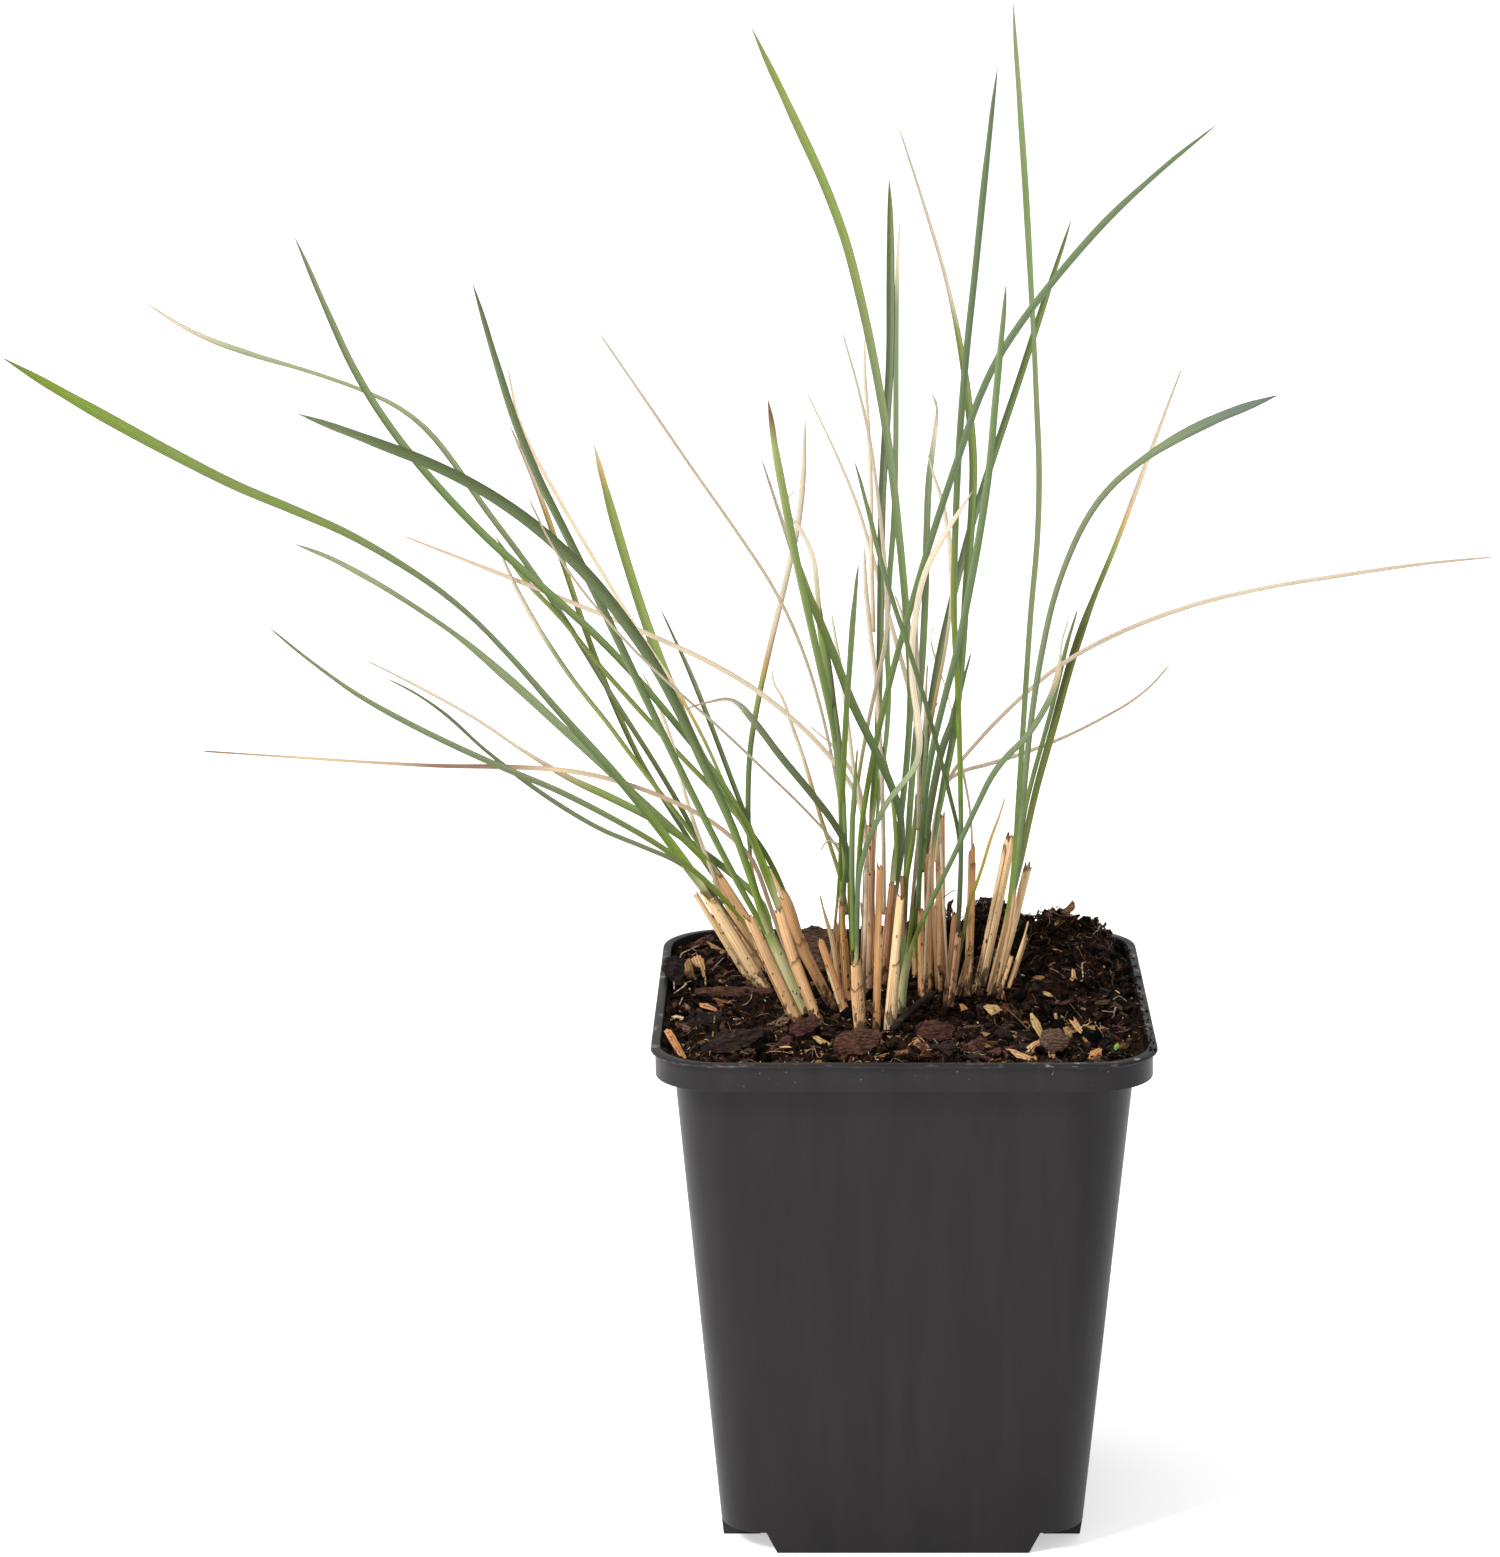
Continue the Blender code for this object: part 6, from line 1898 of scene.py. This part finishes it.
def sheath_master():
    """A strip that wraps two thirds of a tube of radius 1, from y = 0 to y = 1."""
    bpy.ops.mesh.primitive_circle_add(vertices=STRAW_SIDES, radius=1, rotation=UPRIGHT)
    obj = added("sheath")
    settle(obj)
    with Editing(obj):
        pick(obj, "VERT", lambda place: place.z < SLIT)
        bpy.ops.mesh.delete(type="VERT")
        pick_all()
        for _ in range(SHEATH_STEPS):
            extrude(y=1 / SHEATH_STEPS)
        face_outwards()
    modify(obj, "SOLIDIFY", thickness=0.08, offset=1)
    smooth(obj, 50)
    return obj


def wrap_uv(obj):
    """A UV map of the angle round the tube and the distance along it."""
    corners = corners_of(obj)
    turns = np.arctan2(corners[:, 2], corners[:, 0]) / (2 * math.pi) + 0.5
    for face in obj.data.polygons:
        loops = list(face.loop_indices)
        if np.ptp(turns[loops]) > 0.5:
            turns[loops] = np.where(turns[loops] < 0.5, turns[loops] + 1, turns[loops])
    write_uv(obj, turns, corners[:, 1])
    return obj


straw_unit = wrap_uv(straw_master())
sheath_unit = wrap_uv(sheath_master())
print("a straw has", len(straw_unit.data.polygons), "faces")

# %% [markdown]
# ### Straw colour
# Straw is tan with fine ribs and pale streaks along it. Mildew leaves dark specks, and soil splashed on the
# foot leaves a ragged stain. Each vertex carries its height above the foot, so both grow thicker downwards.

# %% Straw material
straw = Look("cut_straw", shine=0.2)
straw_uv = straw.node("TexCoord", output="UV")
around = straw.node("SeparateXYZ", inputs={0: straw_uv}, output="X")
above_foot = straw.node("Attribute", {"attribute_name": "foot"}, output="Fac")
ribs = (around * (22 * 2 * math.pi)).sine() * 0.5 + 0.5
streaks = straw.noise(0.05, 4, straw.stretched(straw_uv, 1.0, 0.06, 1.0)).over(0.3, 0.7)
blotches = straw.noise(2.4 * MM, 4)
tall = straw.stretched(straw.place, 1.0, 1.0, 0.5)
cells = straw.node("TexVoronoi", inputs={"Vector": tall, "Scale": 1 / (1.0 * MM)})
specks = (straw.noise(0.6 * MM, 2) * 0.5 - cells).over(0.0, 0.08)
mildew = specks * (blotches - above_foot * 0.1).over(0.4, 0.5)
splits = straw.noise(0.04, 2, straw.stretched(straw_uv, 1.0, 0.04, 1.0)).over(0.64, 0.69)
grime = (straw.noise(1.0 * MM, 5, tall) - above_foot * 0.34).over(0.33, 0.43)
shading = 1.0 + ribs * 0.17 + streaks * 0.75 + blotches * 0.5
straw_colour = straw.shade(straw.tinted(), shading)
straw_colour = straw.mix(streaks.over(0.7, 1.0) * 0.25, straw_colour, TONES["cream"])
straw_colour = straw.mix(splits * 0.55, straw_colour, TONES["torn"])
straw_colour = straw.mix(mildew * 0.9, straw_colour, TONES["dirt"])
straw_colour = straw.mix(grime * 0.8, straw_colour, TONES["dirt"])
straw.surface(straw_colour, 0.5 + blotches * 0.2, ribs + streaks, 0.08 * MM)
print("straw from", len(straw.tree.nodes), "nodes")


# %% Read and follow a straw's line
def solid_straw(node):
    """The line of a cut straw: the middles of its rings, from its root to its cut."""
    points, _ = neighbours(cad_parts[node])
    low, high = points[points[:, 2].argmin()], points[points[:, 2].argmax()]
    for _ in range(3):
        axis = (high - low) / np.linalg.norm(high - low)
        order = points[np.argsort((points - low) @ axis)]
        low, high = order[:6].mean(axis=0), order[-6:].mean(axis=0)
    rings = order.reshape(-1, 6, 3)
    middle = rings.mean(axis=1)
    radius = np.linalg.norm(rings - middle[:, None], axis=2).mean(axis=1)
    return middle, radius


FOOT_STAIN = 12.0 * MM
TUBE_ROWS = 120
RIB_DEPTH = 0.035
RIBS = 9
TEARS = ((1.4, 1.0), (4.1, 0.7))
TEAR_DEPTH = 1.5
TOP_SLANT = 0.35


def lay_tube(master, name, middle, radius, turn, ragged, top=1.0, flare=0.0):
    """A copy of a round unit strand laid along a line of middles with a radius at each, its top torn."""
    obj = copied(master, name)
    points = points_of(obj.data)
    rows = np.concatenate((middle, np.array(radius)[:, None]), axis=1)
    if len(rows) == 2:
        rows = np.stack((rows[0], rows.mean(axis=0), rows[1]))
    length = distances(rows[:, :3])[-1]
    tear = []
    for x, _, z in unit(points * (1, 0, 1)):
        place = Vector((x, z, turn * 9.0))
        tear.append(ragged * sum(depth * noise.noise(place * size) for size, depth in TEARS))
    slant = TOP_SLANT * ragged * points[:, 0]
    at_top = np.clip((points[:, 1] - PITH) / (1 - PITH), 0, 1)
    along = points[:, 1] * top + (np.array(tear) + slant) * at_top * rows[-1, 3] * TEAR_DEPTH / length
    along -= max(0.0, along.max() - 1.0) * at_top
    curve = smoothed(rows, TUBE_ROWS)
    spots = np.linspace(0, 1, TUBE_ROWS)
    at = np.stack([np.interp(along, spots, column) for column in curve.T], axis=1)
    forward = unit((curve[-1:, :3] - curve[:1, :3]))[0]
    side = np.cross(forward, (0.0, 1.0, 0.0))
    side /= np.linalg.norm(side)
    face = np.cross(side, forward)
    c, s = math.cos(turn), math.sin(turn)
    x = points[:, 0] * c - points[:, 2] * s
    z = points[:, 0] * s + points[:, 2] * c
    ribbed = 1 + RIB_DEPTH * np.cos(RIBS * np.arctan2(points[:, 2], points[:, 0]))
    swell = at[:, 3] * ribbed * (1 + flare * np.clip(along / top, 0, 1) ** 3)
    moved = at[:, :3] + np.outer(x * swell, side) + np.outer(z * swell, face)
    move_points(obj.data, moved)
    mark(obj, "foot", np.clip(along * length / FOOT_STAIN, 0, 1))
    return obj, along


print("cut_straw_01 has", len(solid_straw("cut_straw_01")[0]), "rings")

# %% Tones of the straws
STRAW_TONES = {
    "cut_straw_01": "stubble_pale", "cut_straw_02": "stubble", "cut_straw_03": "stubble_orange",
    "cut_straw_04": "stubble_brown", "cut_straw_05": "stubble_orange", "cut_straw_06": "stubble_pale",
    "cut_straw_07": "stubble_grey", "cut_straw_08": "stubble_grey", "cut_straw_09": "stubble",
    "cut_straw_10": "stubble_pale", "cut_straw_11": "stubble_pale", "cut_straw_12": "stubble",
    "shoot_01": "stubble_pale", "shoot_02": "stubble", "shoot_03": "stubble", "shoot_04": "sheath",
    "shoot_05": "stubble", "shoot_06": "stubble_grey", "shoot_07": "stubble_orange", "shoot_08": "stubble",
    "shoot_09": "stubble_pink", "shoot_10": "stubble_brown", "shoot_11": "stubble_grey",
    "shoot_12": "stubble_grey", "shoot_13": "stubble_pink", "shoot_14": "sheath",
}
THIN_STRAWS = (
    # radius, tone, and points of the front view from foot to cut
    (0.45, "stubble_pale", ((-15, 100), (-20, 111), (-22.8, 117), (-25.4, 122))),
    (0.4, "stubble_grey", ((-11.2, 94), (-11.6, 103), (-12, 111))),
    (0.6, "stubble_orange", ((-9.3, 90), (-9.9, 98), (-10.3, 104))),
    (0.4, "stubble_brown", ((0.7, 95), (0.3, 108), (-0.1, 119.8))),
    (0.5, "stubble", ((2.6, 95), (2.4, 101), (2.2, 107))),
    (0.45, "stubble_brown", ((7.8, 93), (8.8, 103), (9.7, 113))),
    (0.35, "stubble", ((17.8, 96), (19.2, 100.5), (20.3, 104.5))),
)
print(len(STRAW_TONES), "straws and", len(THIN_STRAWS), "thin ones")

# %% Lay the straws and their sheaths
SHEATH_SHARES = (0.45, 0.92)
SHEATHED_OVER = 0.6 * MM
STRAW_RAGGED = 1.3
STEM_RAGGED = 0.1
SHEATH_RAGGED = 0.7
SHEATH_ROOM = 1.06
SHEATH_FLARE = 0.03
STRAW_SWELL = 1.06
SHEATHED_SWELL = 0.95
FOOT_DARKENING = 3.5 * MM
STEM_TONES = ((0, "stubble_pale"), (0.35, "sheath"), (0.75, "sheath"), (1, "leaf"))
straw_draw = random.Random(5)


def straw_tint(master, tone, along, length):
    """A tone that darkens just above the ground, with a torn brown rim and a pale pith inside."""
    tint = toned(STEM_TONES if tone == "sheath" else ((0, tone),), along)
    spots = points_of(master.data)
    if tone != "sheath":
        tint[spots[:, 1] > 0.99] = TONES["torn"]
    inside = (np.hypot(spots[:, 0], spots[:, 2]) < 0.8) & (spots[:, 1] < 0.99)
    tint[inside] = TONES["stubble_pale"]
    foot = np.clip(along * length / FOOT_DARKENING, 0.25, 1)[:, None]
    return tint * foot


def lay_straw(name, middle, radius, tone, sheathed):
    """A hollow straw with a torn top, and a split sheath round it."""
    turn = straw_draw.uniform(0, 2 * math.pi)
    radius = np.array(radius) * (SHEATHED_SWELL if sheathed else STRAW_SWELL)
    ragged = STEM_RAGGED if tone == "sheath" else STRAW_RAGGED
    tube, along = lay_tube(straw_unit, name, middle, radius, turn, ragged)
    paint(tube, straw_tint(straw_unit, tone, along, distances(middle)[-1]))
    if not sheathed or tone == "sheath":
        return [tube]
    top = straw_draw.uniform(*SHEATH_SHARES)
    turn = straw_draw.uniform(0, 2 * math.pi)
    room = radius * SHEATH_ROOM
    sheath, along = lay_tube(sheath_unit, name, middle, room, turn, SHEATH_RAGGED, top, SHEATH_FLARE)
    tone = straw_draw.choice(("stubble_pale", tone, tone))
    tint = straw_tint(sheath_unit, tone, along, distances(middle)[-1])
    # painted shade along the split edges of the sheath, where it stands off the straw
    split_edge_shade = np.clip((points_of(sheath_unit.data)[:, 2] - SLIT) / 0.25, 0.4, 1)
    paint(sheath, tint * split_edge_shade[:, None])
    return [tube, sheath]


for node, tone in STRAW_TONES.items():
    if node in shoot_lines:
        middle = shoot_lines[node].middle
        radius = np.linalg.norm(shoot_lines[node].edge, axis=1)
    else:
        middle, radius = solid_straw(node)
    pieces = lay_straw(node, middle, radius, tone, radius[0] > SHEATHED_OVER)
    hand_over(joined(pieces, f"{node}_straw"), straw.material, "straw", node)
thin = []
for radius, tone, points in THIN_STRAWS:
    points = np.array(points) * MM
    middle = lifted(points[:, 0], points[:, 1], np.full(len(points), depth_near(*points[1])))
    thin += lay_straw("thin", middle, np.full(len(points), radius * MM), tone, False)
hand_over(joined(thin, "thin_straws"), straw.material, "straw")
print(len(thin), "thin straws laid")

# %% [markdown]
# ## Finish
# The masters were only patterns, so they are removed.

# %% Finish
discard(*crumb_masters, *splinter_masters, *chip_masters, *husk_masters)
discard(blade_master, fibre_master, hair_master, straw_unit, sheath_unit)
